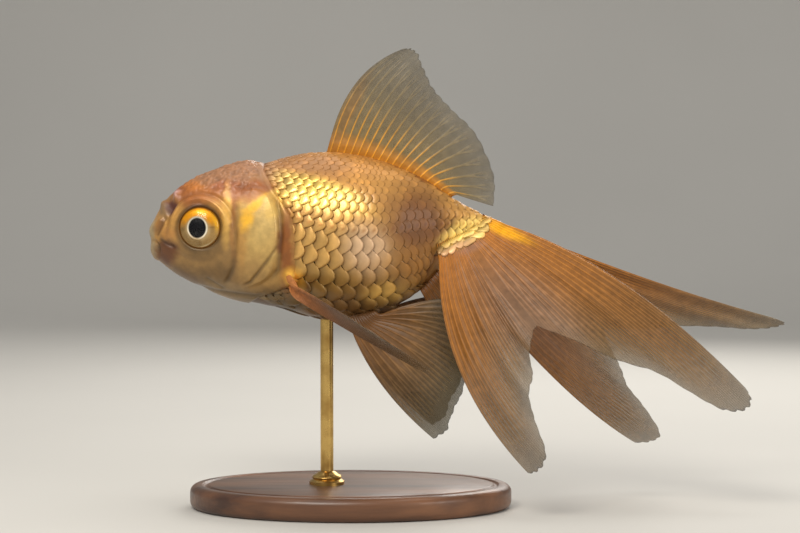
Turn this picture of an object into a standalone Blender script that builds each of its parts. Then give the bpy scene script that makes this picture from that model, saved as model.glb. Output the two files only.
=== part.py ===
"""Fancy goldfish, a still, life-size museum model on a small display stand.

The fish heads along -X with its left side towards -Y, and +Z is up. The origin is the centre of
the stand's underside. Every length below is in millimetres, and MM turns it into metres.

The body is a loft of rings, each a rounded section from its own top, bottom and width. Thin
curved cuts part it into head, trunk and tail stalk. The gill covers are plates let into the
head, and each fin is a thin curved fan of rays.
"""

import math
from dataclasses import dataclass

import bmesh
import bpy
import numpy as np
from mathutils import Vector

MM = 0.001
GAP = 0.3  # clear gap between neighbouring pieces

# Stand
BASE_LENGTH = 62.0
BASE_WIDTH = 42.0
BASE_HEIGHT = 4.5
BASE_EDGE = 1.2
ROD_RADIUS = 1.25
ROD_X = -4.6
SOCKET_DEPTH = 4.0
COLLAR_RADIUS = 3.4
COLLAR_HEIGHT = 2.4

# Eyes
EYE_CENTRE = (-28.4, 5.55, 54.0)
EYE_RADIUS = 4.45
EYE_DEPTH = 3.5

# Nostril flaps
NOSTRIL_SEAT = (2.3, 0.98)  # station and angle
NOSTRIL_RADII = (0.95, 1.3, 0.6)
NOSTRIL_CLEARANCE = 0.42

# Fins
FIN_ROOT_THICKNESS = 1.1
FIN_TIP_THICKNESS = 0.55

# Body mesh
RING_SIDES = 32
STEPS_PER_STATION = 2
CUT = 0.07  # share of a station left clear between lengths of the body
NOSE_POINT = -0.25  # how far each closed end stands out (along the fish) from its ring
NECK_DISH = -1.2
STALK_POINT = 0.35


@dataclass
class Station:
    """One section of the body: its place, outline heights, half width and roundness."""

    x: float
    top: float
    bottom: float
    half_width: float
    widest: float
    upper_power: float
    lower_power: float
    bow: float


SNOUT, SHOULDER, STALK, BODY_END = 0.0, 9.0, 14.0, 17.0

BODY = [
    Station(-38.2, 52.9, 51.3, 1.0, 52.1, 2.0, 2.0, 0.0),
    Station(-37.7, 55.3, 48.7, 3.3, 52.0, 2.2, 2.2, 0.0),
    Station(-35.9, 58.6, 46.9, 5.0, 52.2, 2.2, 2.2, 0.0),
    Station(-33.2, 61.4, 44.9, 6.4, 52.6, 2.2, 2.2, 0.0),
    Station(-29.8, 63.6, 43.1, 7.6, 53.2, 2.25, 2.15, 0.2),
    Station(-26.0, 65.1, 41.3, 8.5, 53.4, 2.3, 2.1, 0.6),
    Station(-22.6, 66.3, 40.1, 9.1, 53.2, 2.3, 2.1, 1.3),
    Station(-19.6, 66.9, 39.4, 9.5, 52.8, 2.25, 2.1, 2.2),
    Station(-17.6, 66.5, 39.0, 9.75, 52.4, 2.2, 2.1, 3.2),
    Station(-15.6, 66.8, 38.6, 9.95, 52.0, 2.1, 2.1, 3.6),
    Station(-10.6, 68.1, 37.6, 10.3, 51.4, 2.0, 2.15, 3.0),
    Station(-4.6, 68.8, 36.3, 10.4, 50.8, 1.95, 2.2, 1.6),
    Station(2.0, 68.1, 36.8, 9.8, 51.0, 1.9, 2.2, 0.4),
    Station(8.6, 66.2, 38.5, 8.2, 52.4, 1.9, 2.15, -0.4),
    Station(14.4, 63.5, 42.7, 5.9, 53.6, 1.9, 2.0, -0.8),
    Station(19.4, 60.2, 48.2, 3.7, 54.4, 2.0, 2.0, -0.4),
    Station(24.0, 57.5, 51.6, 2.2, 54.6, 2.0, 2.0, 0.0),
    Station(27.2, 55.6, 53.0, 0.9, 54.3, 2.0, 2.0, 0.0),
]


def smooth(values, t):
    """Value at t along a smooth curve through evenly numbered values, t from 0 to len - 1."""
    values = np.asarray(values, dtype=float)
    last = len(values) - 1
    t = min(max(t, 0.0), float(last))
    i = min(int(t), last - 1)
    u = t - i
    before = values[i - 1] if i > 0 else 2 * values[0] - values[1]
    after = values[i + 2] if i + 2 <= last else 2 * values[last] - values[last - 1]
    slope_in = (values[i + 1] - before) / 2
    slope_out = (after - values[i]) / 2
    return (
        (2 * u**3 - 3 * u**2 + 1) * values[i]
        + (u**3 - 2 * u**2 + u) * slope_in
        + (3 * u**2 - 2 * u**3) * values[i + 1]
        + (u**3 - u**2) * slope_out
    )


def station_at(t):
    """The body's section at station number t, which need not be whole."""
    fields = Station.__dataclass_fields__
    return Station(*(float(smooth([getattr(s, f) for s in BODY], t)) for f in fields))


def signed_power(value, power):
    """Power of a number's size, with the number's sign kept."""
    return math.copysign(abs(value) ** power, value)


def body_point(t, angle, lift=0.0):
    """Point of the body's surface. Angle 0 is the left flank, a quarter turn is the back."""
    s = station_at(t)
    up = math.sin(angle) >= 0
    power = s.upper_power if up else s.lower_power
    height = (s.top if up else s.bottom) - s.widest
    across = signed_power(math.cos(angle), 2 / power)
    rise = abs(math.sin(angle)) ** (2 / power)
    z = s.widest + height * rise
    middle = (s.top + s.bottom) / 2
    level = (z - middle) / ((s.top - s.bottom) / 2)
    out = Vector((0.0, -math.cos(angle), math.sin(angle)))
    x = s.x + s.bow * (1 - level**2)
    return Vector((x, -s.half_width * across, z)) + out * lift


def outline_height(x, edge):
    """Height of the body's outline at x, along its "top" or its "bottom"."""
    sections = [station_at(i / 10) for i in range(int(BODY_END) * 10 + 1)]
    return float(np.interp(x, [s.x for s in sections], [getattr(s, edge) for s in sections]))


def material(name, colour, roughness, metallic=0.0):
    """A Principled material of one colour."""
    made = bpy.data.materials.new(name)
    made.use_nodes = True
    shader = made.node_tree.nodes["Principled BSDF"]
    shader.inputs["Base Color"].default_value = (*colour, 1.0)
    shader.inputs["Roughness"].default_value = roughness
    shader.inputs["Metallic"].default_value = metallic
    return made


def add_object(name, bm, finish, parent):
    """Turn a bmesh in millimetres into a named object in metres."""
    bmesh.ops.scale(bm, vec=(MM, MM, MM), verts=bm.verts)
    bmesh.ops.recalc_face_normals(bm, faces=bm.faces)
    mesh = bpy.data.meshes.new(name)
    bm.to_mesh(mesh)
    bm.free()
    made = bpy.data.objects.new(name, mesh)
    made.parent = parent
    bpy.context.scene.collection.objects.link(made)
    mesh.materials.append(finish)
    mesh.shade_smooth()
    mesh.set_sharp_from_angle(angle=math.radians(40))
    return made


def skin_between(bm, first, second):
    """Quads between two closed rings of the same number of points."""
    count = len(first)
    for i in range(count):
        j = (i + 1) % count
        bm.faces.new((first[i], first[j], second[j], second[i]))


def cap(bm, ring, apex):
    """Close a ring with a fan of triangles to one point."""
    tip = bm.verts.new(apex)
    for i, corner in enumerate(ring):
        bm.faces.new((corner, ring[(i + 1) % len(ring)], tip))


def cap_centre(t, inset):
    """Middle of the ring at station t, moved along the fish by inset."""
    left = body_point(t, 0.0)
    right = body_point(t, math.pi)
    return (left + right) / 2 + Vector((inset, 0.0, 0.0))


def body_length(name, start, end, finish, parent, caps=(0.0, 0.0)):
    """A closed length of the body from station start to station end."""
    bm = bmesh.new()
    steps = max(2, round((end - start) * STEPS_PER_STATION))
    rings = []
    for k in range(steps + 1):
        t = start + (end - start) * k / steps
        angles = [2 * math.pi * i / RING_SIDES for i in range(RING_SIDES)]
        rings.append([bm.verts.new(body_point(t, a)) for a in angles])
    for first, second in zip(rings, rings[1:]):
        skin_between(bm, first, second)
    cap(bm, rings[0], cap_centre(start, caps[0]))
    cap(bm, rings[-1], cap_centre(end, caps[1]))
    return add_object(name, bm, finish, parent)


def disc_plate(t_span, angle_span, side, outer, inner, margin=0.0, rear=0.0):
    """A closed plate let into the body: a rounded patch between two depths of its surface.

    The patch is a squared disc over t_span and angle_span, grown by margin at its edges, and
    by rear stations more at the back.
    """
    rings, sides, squareness = 3, 18, 2.6
    bm = bmesh.new()
    t_mid, t_half = (t_span[0] + t_span[1]) / 2, (t_span[1] - t_span[0]) / 2
    a_mid, a_half = (angle_span[0] + angle_span[1]) / 2, (angle_span[1] - angle_span[0]) / 2
    t_half += margin / GILL_STATION_LENGTH
    a_half += margin / GILL_RADIUS

    def layer(lift):
        def place(share, turn):
            reach = t_half + (rear if math.cos(turn) > 0 else 0.0)
            t = t_mid + reach * share * signed_power(math.cos(turn), 2 / squareness)
            angle = a_mid + a_half * share * signed_power(math.sin(turn), 2 / squareness)
            point = body_point(t, angle, lift)
            return bm.verts.new((point.x, side * point.y, point.z))

        centre = place(0.0, 0.0)
        loops = []
        for r in range(1, rings + 1):
            turns = [2 * math.pi * i / sides for i in range(sides)]
            loops.append([place(r / rings, turn) for turn in turns])
        for i in range(sides):
            bm.faces.new((centre, loops[0][i], loops[0][(i + 1) % sides]))
        for first, second in zip(loops, loops[1:]):
            skin_between(bm, first, second)
        return loops[-1]

    skin_between(bm, layer(outer), layer(inner))
    return bm


def ellipsoid(centre, radii, segments=18, rings=12):
    """A closed ellipsoid with its poles along Y."""
    bm = bmesh.new()
    bmesh.ops.create_uvsphere(bm, u_segments=segments, v_segments=rings, radius=1.0)
    for v in bm.verts:
        v.co = Vector((v.co.x * radii[0], v.co.z * radii[1], v.co.y * radii[2]))
        v.co += Vector(centre)
    return bm


def prism(outline, half_depth):
    """An outline in X and Z, carried across the fish from one side to the other."""
    bm = bmesh.new()
    left = [bm.verts.new((x, -half_depth, z)) for x, z in outline]
    right = [bm.verts.new((x, half_depth, z)) for x, z in outline]
    skin_between(bm, left, right)
    bm.faces.new(left)
    bm.faces.new(reversed(right))
    return bm


def round_bar(radius, bottom, top, x, sides=24):
    """An upright round bar at x."""
    bm = bmesh.new()
    bmesh.ops.create_cone(
        bm,
        cap_ends=True,
        segments=sides,
        radius1=radius,
        radius2=radius,
        depth=top - bottom,
    )
    bmesh.ops.translate(bm, vec=(x, 0.0, (top + bottom) / 2), verts=bm.verts)
    return bm


def as_cutter(made):
    """Mark an object as a cutter, which isn't part of the model."""
    made.hide_render = True
    made.display_type = "WIRE"
    return made


def boolean(made, cutter, operation="DIFFERENCE"):
    """Add a Boolean of a cutter to an object."""
    step = made.modifiers.new(operation.title(), "BOOLEAN")
    step.operation = operation
    step.solver = "EXACT"
    step.object = cutter


@dataclass
class Fan:
    """A fin: smooth curves through its rays' roots, knees and tips, in order along the fin.

    Each ray is a quadratic curve from its root towards its knee to its tip.
    """

    roots: list
    knees: list
    tips: list
    rays: int
    steps: int
    pleat: float = 0.0
    pleats: float = 3.0

    def mirrored(self):
        """The same fin on the other side of the fish."""
        rows = [[(x, -y, z) for x, y, z in row] for row in (self.roots, self.knees, self.tips)]
        return Fan(*rows, self.rays, self.steps, -self.pleat, self.pleats)


def fan_point(fan, f, r):
    """Point of a fin at share f along it and share r of the ray's length."""
    root = smooth(fan.roots, f * (len(fan.roots) - 1))
    knee = smooth(fan.knees, f * (len(fan.knees) - 1))
    tip = smooth(fan.tips, f * (len(fan.tips) - 1))
    place = (1 - r) ** 2 * root + 2 * r * (1 - r) * knee + r**2 * tip
    wave = fan.pleat * r * math.sin(2 * math.pi * fan.pleats * f)
    return Vector(place) + Vector((0.0, wave, 0.0))


def fan_normal(fan, f, r):
    """Direction square to a fin's face."""
    step = 0.01
    across = fan_point(fan, min(f + step, 1.0), r) - fan_point(fan, max(f - step, 0.0), r)
    along = fan_point(fan, f, min(r + step, 1.0)) - fan_point(fan, f, max(r - step, 0.0))
    return across.cross(along).normalized()


def fin(name, fan, finish, parent):
    """A closed thin solid along a fan, thick at the root and thin at the tips."""
    bm = bmesh.new()
    faces = []
    for side in (0.5, -0.5):
        grid = []
        for i in range(fan.rays + 1):
            f = i / fan.rays
            row = []
            for j in range(fan.steps + 1):
                r = j / fan.steps
                thick = FIN_ROOT_THICKNESS + (FIN_TIP_THICKNESS - FIN_ROOT_THICKNESS) * min(r * 2, 1)
                row.append(bm.verts.new(fan_point(fan, f, r) + fan_normal(fan, f, r) * thick * side))
            grid.append(row)
        for i in range(fan.rays):
            for j in range(fan.steps):
                bm.faces.new((grid[i][j], grid[i + 1][j], grid[i + 1][j + 1], grid[i][j + 1]))
        faces.append(grid)
    skin_between(bm, rim_of(faces[0]), rim_of(faces[1]))
    return add_object(name, bm, finish, parent)


def rim_of(grid):
    """The points round the edge of a grid, in order."""
    first = [row[0] for row in grid]
    end = grid[-1][1:]
    last = [row[-1] for row in reversed(grid[:-1])]
    start = list(reversed(grid[0][1:-1]))
    return first + end + last + start


# Fins, in millimetres, from the leading ray back
DORSAL_SPAN = (-4.2, -0.2, 3.8, 7.8, 11.8, 15.8, 19.8)
DORSAL_LIFT = 0.5
DORSAL = Fan(
    roots=[(x, 0.0, outline_height(x, "top") + DORSAL_LIFT) for x in DORSAL_SPAN],
    knees=[(-1.2, -0.6, 84.3), (8.4, -0.9, 78.0), (17.3, 0.9, 70.5), (23.4, 0.3, 59.2)],
    tips=[
        (10.6, -1.6, 88.3),
        (12.6, -1.3, 88.0),
        (14.1, -0.8, 84.8),
        (16.3, 0.1, 80.3),
        (20.0, 0.9, 76.4),
        (24.4, 1.2, 71.6),
        (27.7, 0.5, 64.2),
        (27.6, 0.0, 58.0),
    ],
    rays=17,
    steps=6,
    pleat=0.35,
    pleats=2.5,
)

PECTORAL_LEFT = Fan(
    roots=[(-12.2, -10.9, 44.4), (-11.3, -10.7, 43.0), (-11.6, -10.3, 41.8)],
    knees=[(-3.0, -21.0, 40.2), (-1.6, -17.0, 37.6), (-1.2, -12.4, 35.2)],
    tips=[
        (3.6, -26.6, 36.2),
        (8.2, -27.0, 33.4),
        (12.4, -24.6, 30.6),
        (15.0, -19.6, 28.2),
        (14.8, -15.6, 27.0),
    ],
    rays=11,
    steps=5,
)

PELVIC_LEFT = Fan(
    roots=[(-0.3, -4.6, 36.0), (2.0, -4.6, 36.3), (4.6, -4.4, 36.9)],
    knees=[(3.9, -8.4, 24.0), (10.0, -8.8, 29.0), (12.9, -7.4, 35.2), (11.6, -6.4, 40.6)],
    tips=[
        (16.1, -11.6, 14.3),
        (18.4, -11.0, 15.8),
        (19.6, -10.0, 19.1),
        (21.4, -8.6, 22.8),
        (22.6, -7.0, 27.6),
        (22.8, -6.2, 34.4),
        (20.6, -5.8, 40.9),
    ],
    rays=13,
    steps=6,
    pleat=0.4,
)

ANAL_LEFT = Fan(
    roots=[(13.9, -1.9, 41.2), (15.6, -1.8, 43.2), (17.3, -1.6, 45.2)],
    knees=[(15.6, -2.6, 36.8), (19.0, -2.6, 38.4), (21.6, -2.4, 41.6)],
    tips=[
        (20.6, -3.6, 31.6),
        (22.4, -3.8, 31.6),
        (24.6, -3.6, 34.2),
        (26.2, -3.2, 37.8),
        (26.0, -2.6, 41.2),
    ],
    rays=8,
    steps=5,
)

TAIL_LOWER_LEFT = Fan(
    roots=[(17.0, -5.4, 50.2), (19.4, -4.9, 51.2), (21.6, -4.2, 52.2)],
    knees=[(15.6, -10.0, 26.4), (20.6, -10.4, 30.4), (25.4, -9.4, 37.0), (27.6, -7.4, 42.8)],
    tips=[
        (33.6, -19.0, 8.6),
        (35.8, -19.6, 9.2),
        (36.6, -19.4, 13.0),
        (34.8, -18.2, 18.4),
        (33.6, -17.0, 22.8),
        (34.4, -16.0, 26.4),
        (33.8, -14.8, 30.4),
        (34.7, -13.2, 34.9),
    ],
    rays=14,
    steps=7,
    pleat=0.6,
)

TAIL_UPPER_LEFT = Fan(
    roots=[(22.2, -4.0, 52.6), (24.6, -3.1, 54.0), (26.4, -2.0, 55.6)],
    knees=[(28.4, -7.2, 43.2), (39.0, -8.6, 42.8), (46.0, -8.2, 45.4), (50.8, -5.0, 49.2)],
    tips=[
        (35.4, -13.0, 35.6),
        (42.0, -13.6, 33.0),
        (49.5, -14.0, 29.6),
        (57.4, -14.2, 27.0),
        (64.4, -14.2, 22.9),
        (70.6, -14.0, 19.6),
        (74.6, -13.6, 19.2),
        (76.0, -12.8, 21.2),
        (75.0, -12.0, 23.4),
    ],
    rays=15,
    steps=7,
    pleat=0.7,
)

TAIL_UPPER_RIGHT = Fan(
    roots=[(22.8, 3.8, 52.8), (25.0, 2.9, 54.1), (26.8, 1.8, 55.7)],
    knees=[(35.0, 7.0, 42.2), (45.4, 8.6, 42.2), (52.0, 8.2, 42.0), (58.8, 6.0, 42.4)],
    tips=[
        (50.6, 12.4, 33.4),
        (57.6, 13.0, 33.4),
        (65.4, 13.6, 33.8),
        (73.0, 14.0, 33.6),
        (79.6, 14.0, 33.2),
        (84.6, 13.8, 33.4),
        (86.6, 13.4, 34.4),
        (84.0, 12.8, 35.6),
    ],
    rays=14,
    steps=7,
    pleat=0.5,
)

TAIL_LOWER_RIGHT = Fan(
    roots=[(17.6, 5.3, 50.2), (20.0, 4.7, 51.3), (22.2, 4.0, 52.4)],
    knees=[(39.4, 11.0, 20.6), (42.0, 11.4, 26.0), (39.6, 9.6, 34.4), (34.4, 7.0, 41.6)],
    tips=[
        (57.6, 20.0, 9.6),
        (60.8, 20.0, 9.8),
        (62.2, 19.6, 12.0),
        (58.8, 18.4, 17.4),
        (55.4, 17.0, 21.6),
        (54.0, 15.8, 25.4),
        (51.8, 14.2, 29.6),
        (50.0, 12.6, 33.0),
    ],
    rays=14,
    steps=7,
    pleat=0.5,
)

# Rod's upper end and the bore for it, inside the belly
ROD_TOP = outline_height(ROD_X, "bottom") + SOCKET_DEPTH
BORE_START = 20.0

# Gill covers
GILL_STATIONS = (6.35, 9.0)
GILL_ANGLES = (-0.72, 0.66)
GILL_OUTER, GILL_INNER = 0.25, -0.95
GILL_STATION_LENGTH = 2.4  # length of one station there
GILL_RADIUS = 8.0  # how far the head's side stands from its middle there
RECESS_OUTER = 2.0
RECESS_REAR = 0.9

MOUTH_CORNER = (-34.6, 49.4)
MOUTH_FRONT = (-40.0, 52.9)
CHIN_BACK = (-31.6, 42.0)
CHIN_BELOW = (-40.0, 42.0)
JAW_END = 5.0
JAW_REACH = 12.0


def shifted(outline, distance):
    """An outline whose upper and rear edges move inwards by distance."""
    (x0, z0), (x1, z1), (x2, z2), (x3, z3) = outline
    return [(x0, z0 - distance), (x1 - distance, z1 - distance), (x2 - distance, z2), (x3, z3)]


def build_head(finish, lip_finish, parent):
    """Head with eye sockets and gill recesses, and the lower jaw parted from it."""
    head = body_length("head", SNOUT, SHOULDER, finish, parent, caps=(NOSE_POINT, NECK_DISH))
    jaw = body_length("lower_jaw", SNOUT, JAW_END, lip_finish, parent, caps=(NOSE_POINT, 0.0))
    jaw_outline = [MOUTH_FRONT, MOUTH_CORNER, CHIN_BACK, CHIN_BELOW]
    kept = add_object("jaw_shape", prism(shifted(jaw_outline, GAP), JAW_REACH), lip_finish, parent)
    cleared = add_object("jaw_cut", prism(jaw_outline, JAW_REACH), lip_finish, parent)
    boolean(jaw, as_cutter(kept), "INTERSECT")
    boolean(head, as_cutter(cleared))
    for side, label in ((1, "left"), (-1, "right")):
        centre = (EYE_CENTRE[0], -side * EYE_CENTRE[1], EYE_CENTRE[2])
        room = (EYE_RADIUS + GAP, EYE_DEPTH + GAP, EYE_RADIUS + GAP)
        socket = add_object(f"socket_{label}", ellipsoid(centre, room), finish, parent)
        boolean(head, as_cutter(socket))
        recess = disc_plate(
            GILL_STATIONS,
            GILL_ANGLES,
            side,
            RECESS_OUTER,
            GILL_INNER - GAP,
            margin=GAP,
            rear=RECESS_REAR,
        )
        boolean(head, as_cutter(add_object(f"recess_{label}", recess, finish, parent)))


def build_gill_covers(finish, parent):
    """The two plates over the gills."""
    for side, label in ((1, "left"), (-1, "right")):
        plate = disc_plate(GILL_STATIONS, GILL_ANGLES, side, GILL_OUTER, GILL_INNER)
        add_object(f"gill_cover_{label}", plate, finish, parent)


def build_eyes(finish, parent):
    """The two eyeballs."""
    for side, label in ((1, "left"), (-1, "right")):
        centre = (EYE_CENTRE[0], -side * EYE_CENTRE[1], EYE_CENTRE[2])
        ball = ellipsoid(centre, (EYE_RADIUS, EYE_DEPTH, EYE_RADIUS))
        add_object(f"eye_{label}", ball, finish, parent)


def build_nostrils(finish, parent):
    """A small fleshy flap over each nostril, lying on the snout and clear of its skin."""
    seat = body_point(*NOSTRIL_SEAT)
    along = body_point(NOSTRIL_SEAT[0] + 0.1, NOSTRIL_SEAT[1]) - seat
    around = body_point(NOSTRIL_SEAT[0], NOSTRIL_SEAT[1] + 0.1) - seat
    out = around.cross(along).normalized()
    out = out if out.z > 0 else -out
    for side, label in ((1, "left"), (-1, "right")):
        bm = ellipsoid((0.0, 0.0, 0.0), NOSTRIL_RADII, segments=10, rings=6)
        facing = Vector((out.x, side * out.y, out.z))
        centre = Vector((seat.x, side * seat.y, seat.z)) + facing * (NOSTRIL_RADII[2] + NOSTRIL_CLEARANCE)
        turn = facing.to_track_quat("Z", "Y").to_matrix()
        for v in bm.verts:
            v.co = turn @ v.co + centre
        add_object(f"nostril_{label}", bm, finish, parent)


def build_trunk(finish, stalk_finish, parent):
    """Trunk with a socket for the rod, and the tail stalk."""
    trunk = body_length("trunk", SHOULDER + CUT, STALK, finish, parent, caps=(NECK_DISH, 0.0))
    bore = round_bar(ROD_RADIUS + GAP, BORE_START, ROD_TOP + GAP, ROD_X)
    boolean(trunk, as_cutter(add_object("rod_bore", bore, finish, parent)))
    body_length("tail_stalk", STALK + CUT, BODY_END, stalk_finish, parent, caps=(0.0, STALK_POINT))


def build_fins(finish, tail_finish, parent):
    """Dorsal fin, the paired fins and the four lobes of the double tail."""
    fin("dorsal_fin", DORSAL, finish, parent)
    pairs = {"pectoral_fin": PECTORAL_LEFT, "pelvic_fin": PELVIC_LEFT, "anal_fin": ANAL_LEFT}
    for name, left in pairs.items():
        fin(f"{name}_left", left, finish, parent)
        fin(f"{name}_right", left.mirrored(), finish, parent)
    fin("tail_fin_upper_left", TAIL_UPPER_LEFT, tail_finish, parent)
    fin("tail_fin_lower_left", TAIL_LOWER_LEFT, tail_finish, parent)
    fin("tail_fin_upper_right", TAIL_UPPER_RIGHT, tail_finish, parent)
    fin("tail_fin_lower_right", TAIL_LOWER_RIGHT, tail_finish, parent)


def build_base(finish, parent):
    """Oval base with a rounded upper edge, standing on the floor."""
    sides = 44
    steps = 3
    bm = bmesh.new()

    def ring(inset, z):
        corners = []
        for i in range(sides):
            turn = 2 * math.pi * i / sides
            x = (BASE_LENGTH / 2 - inset) * math.cos(turn)
            y = (BASE_WIDTH / 2 - inset) * math.sin(turn)
            corners.append(bm.verts.new((x, y, z)))
        return corners

    rings = [ring(0.0, 0.0)]
    for k in range(steps + 1):
        turn = math.pi / 2 * k / steps
        inset = BASE_EDGE * (1 - math.cos(turn))
        rings.append(ring(inset, BASE_HEIGHT - BASE_EDGE + BASE_EDGE * math.sin(turn)))
    for first, second in zip(rings, rings[1:]):
        skin_between(bm, first, second)
    bm.faces.new(reversed(rings[0]))
    bm.faces.new(rings[-1])
    return add_object("stand_base", bm, finish, parent)


def build_collar(finish, parent):
    """Turned collar round the rod's foot."""
    bm = bmesh.new()
    inner = ROD_RADIUS + GAP
    low = BASE_HEIGHT + GAP
    high = low + COLLAR_HEIGHT
    profile = [
        (inner, low),
        (COLLAR_RADIUS, low),
        (COLLAR_RADIUS, low + COLLAR_HEIGHT * 0.45),
        (COLLAR_RADIUS * 0.86, low + COLLAR_HEIGHT * 0.62),
        (inner + 0.55, high),
        (inner, high),
    ]
    sides = 24
    columns = []
    for i in range(sides):
        turn = 2 * math.pi * i / sides
        place = [(ROD_X + r * math.cos(turn), r * math.sin(turn), z) for r, z in profile]
        columns.append([bm.verts.new(p) for p in place])
    for i, column in enumerate(columns):
        skin_between(bm, column, columns[(i + 1) % sides])
    return add_object("stand_collar", bm, finish, parent)


def build_stand(base_finish, metal_finish, parent):
    """Base, collar and the rod up into the belly."""
    build_base(base_finish, parent)
    build_collar(metal_finish, parent)
    bar = round_bar(ROD_RADIUS, BASE_HEIGHT + GAP, ROD_TOP, ROD_X)
    add_object("stand_rod", bar, metal_finish, parent)


def clear_scene():
    """Remove what the scene starts with."""
    for old in list(bpy.data.objects):
        bpy.data.objects.remove(old, do_unlink=True)


def main():
    """Build the fish and its stand."""
    clear_scene()
    root = bpy.data.objects.new("goldfish_root", None)
    bpy.context.scene.collection.objects.link(root)
    head_skin = material("head_skin", (0.52, 0.24, 0.08), 0.45)
    lip_skin = material("lip_skin", (0.62, 0.42, 0.28), 0.5)
    gill_gold = material("gill_gold", (0.80, 0.52, 0.17), 0.3, 0.3)
    flank_gold = material("flank_gold", (0.72, 0.42, 0.12), 0.32, 0.3)
    stalk_gold = material("stalk_gold", (0.78, 0.44, 0.08), 0.32, 0.3)
    eye_gold = material("eye_gold", (0.75, 0.55, 0.25), 0.15)
    fin_amber = material("fin_amber", (0.55, 0.33, 0.18), 0.45)
    tail_amber = material("tail_amber", (0.62, 0.30, 0.10), 0.45)
    base_wood = material("base_wood", (0.09, 0.045, 0.025), 0.35)
    rod_brass = material("rod_brass", (0.70, 0.52, 0.24), 0.28, 1.0)
    build_head(head_skin, lip_skin, root)
    build_gill_covers(gill_gold, root)
    build_eyes(eye_gold, root)
    build_nostrils(head_skin, root)
    build_trunk(flank_gold, stalk_gold, root)
    build_fins(fin_amber, tail_amber, root)
    build_stand(base_wood, rod_brass, root)


main()
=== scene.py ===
"""Finish of a fancy goldfish model on its display stand: skin, scales, eyes, fins, stand and studio.

Lengths are in millimetres until a mesh is made, and MM turns them into metres. The fish heads
along -X, its left side faces -Y, and +Z is up.
"""

import logging
import math
from dataclasses import dataclass, field, replace
from enum import Enum

import bpy
import numpy as np
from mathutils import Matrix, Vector


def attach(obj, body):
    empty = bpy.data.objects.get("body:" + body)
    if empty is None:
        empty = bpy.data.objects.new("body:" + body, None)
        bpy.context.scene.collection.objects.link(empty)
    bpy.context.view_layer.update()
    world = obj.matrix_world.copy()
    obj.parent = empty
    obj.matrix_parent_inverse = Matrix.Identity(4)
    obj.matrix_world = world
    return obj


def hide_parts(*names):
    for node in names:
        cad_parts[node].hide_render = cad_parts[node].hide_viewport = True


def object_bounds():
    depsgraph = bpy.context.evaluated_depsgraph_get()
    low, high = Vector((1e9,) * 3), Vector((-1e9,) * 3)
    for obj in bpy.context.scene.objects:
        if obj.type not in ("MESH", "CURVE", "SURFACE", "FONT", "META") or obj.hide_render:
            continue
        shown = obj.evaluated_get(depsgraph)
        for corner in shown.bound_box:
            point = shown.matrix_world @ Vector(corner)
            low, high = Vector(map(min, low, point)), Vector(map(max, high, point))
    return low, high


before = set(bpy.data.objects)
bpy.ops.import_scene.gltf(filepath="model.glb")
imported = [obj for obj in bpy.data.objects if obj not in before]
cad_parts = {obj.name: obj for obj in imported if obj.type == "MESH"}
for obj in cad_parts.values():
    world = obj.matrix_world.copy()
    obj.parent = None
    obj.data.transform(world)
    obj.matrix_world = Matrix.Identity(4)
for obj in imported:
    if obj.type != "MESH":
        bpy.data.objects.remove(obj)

CAD_BOX = [list(corner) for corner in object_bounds()]
MM = 0.001
BODY = "root"
LOG = logging.getLogger("goldfish")
Array = np.ndarray
Pair = tuple[Array, Array]
Piece = bpy.types.Object
Material = bpy.types.Material
Socket = bpy.types.NodeSocket
Inputs = dict[str | int, Socket | float | tuple[float, ...]]
Colour = tuple[float, float, float]
Place = tuple[float, float, float]
Spot = tuple[float, float]
Spots = tuple[Spot, ...]


class Side(Enum):
    """Side of the fish, with the sign that turns a left place into one on that side."""

    LEFT = 1
    RIGHT = -1


# ---- sums


def tone(red: int, green: int, blue: int) -> Colour:
    """Turn a colour named as it is seen, 0 to 255, into scene-linear values."""
    shares = [c / 255 for c in (red, green, blue)]
    return tuple(c / 12.92 if c <= 0.04045 else ((c + 0.055) / 1.055) ** 2.4 for c in shares)


def ease(low: float, high: float, value: Array) -> Array:
    """Smooth step from 0 at low to 1 at high."""
    share = np.clip((np.asarray(value, dtype=float) - low) / (high - low), 0.0, 1.0)
    return share * share * (3 - 2 * share)


def bell(distance: Array, width: float) -> Array:
    """Bell curve of a distance."""
    return np.exp(-((np.asarray(distance) / width) ** 2))


def mix(first: Array, second: Array, share: Array) -> Array:
    """Blend two sets of colours or places by a share for each."""
    share = np.asarray(share)[..., None]
    return np.asarray(first) * (1 - share) + np.asarray(second) * share


def signed_power(value: Array, power: Array) -> Array:
    """Power of a number's size, with the number's sign kept."""
    return np.sign(value) * np.abs(value) ** power


def unit(vectors: Array) -> Array:
    """Vectors of length one."""
    return vectors / (np.linalg.norm(vectors, axis=-1, keepdims=True) + 1e-12)


def smooth(values: Array, t: Array) -> Array:
    """Read a smooth curve through evenly numbered rows.

    Args:
        values: Rows of numbers.
        t: Places along the rows, from 0 to the last row's number.

    Returns:
        A row of numbers for each place.
    """
    values = np.asarray(values, dtype=float)
    last = len(values) - 1
    padded = np.concatenate([2 * values[:1] - values[1:2], values, 2 * values[-1:] - values[-2:-1]])
    t = np.clip(np.asarray(t, dtype=float), 0.0, last)
    i = np.minimum(t.astype(int), last - 1)
    u = (t - i)[..., None]
    before, here, there, after = (padded[i + k] for k in range(4))
    slope_in, slope_out = (there - before) / 2, (after - here) / 2
    return (
        (2 * u**3 - 3 * u**2 + 1) * here
        + (u**3 - 2 * u**2 + u) * slope_in
        + (3 * u**2 - 2 * u**3) * there
        + (u**3 - u**2) * slope_out
    )


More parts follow.
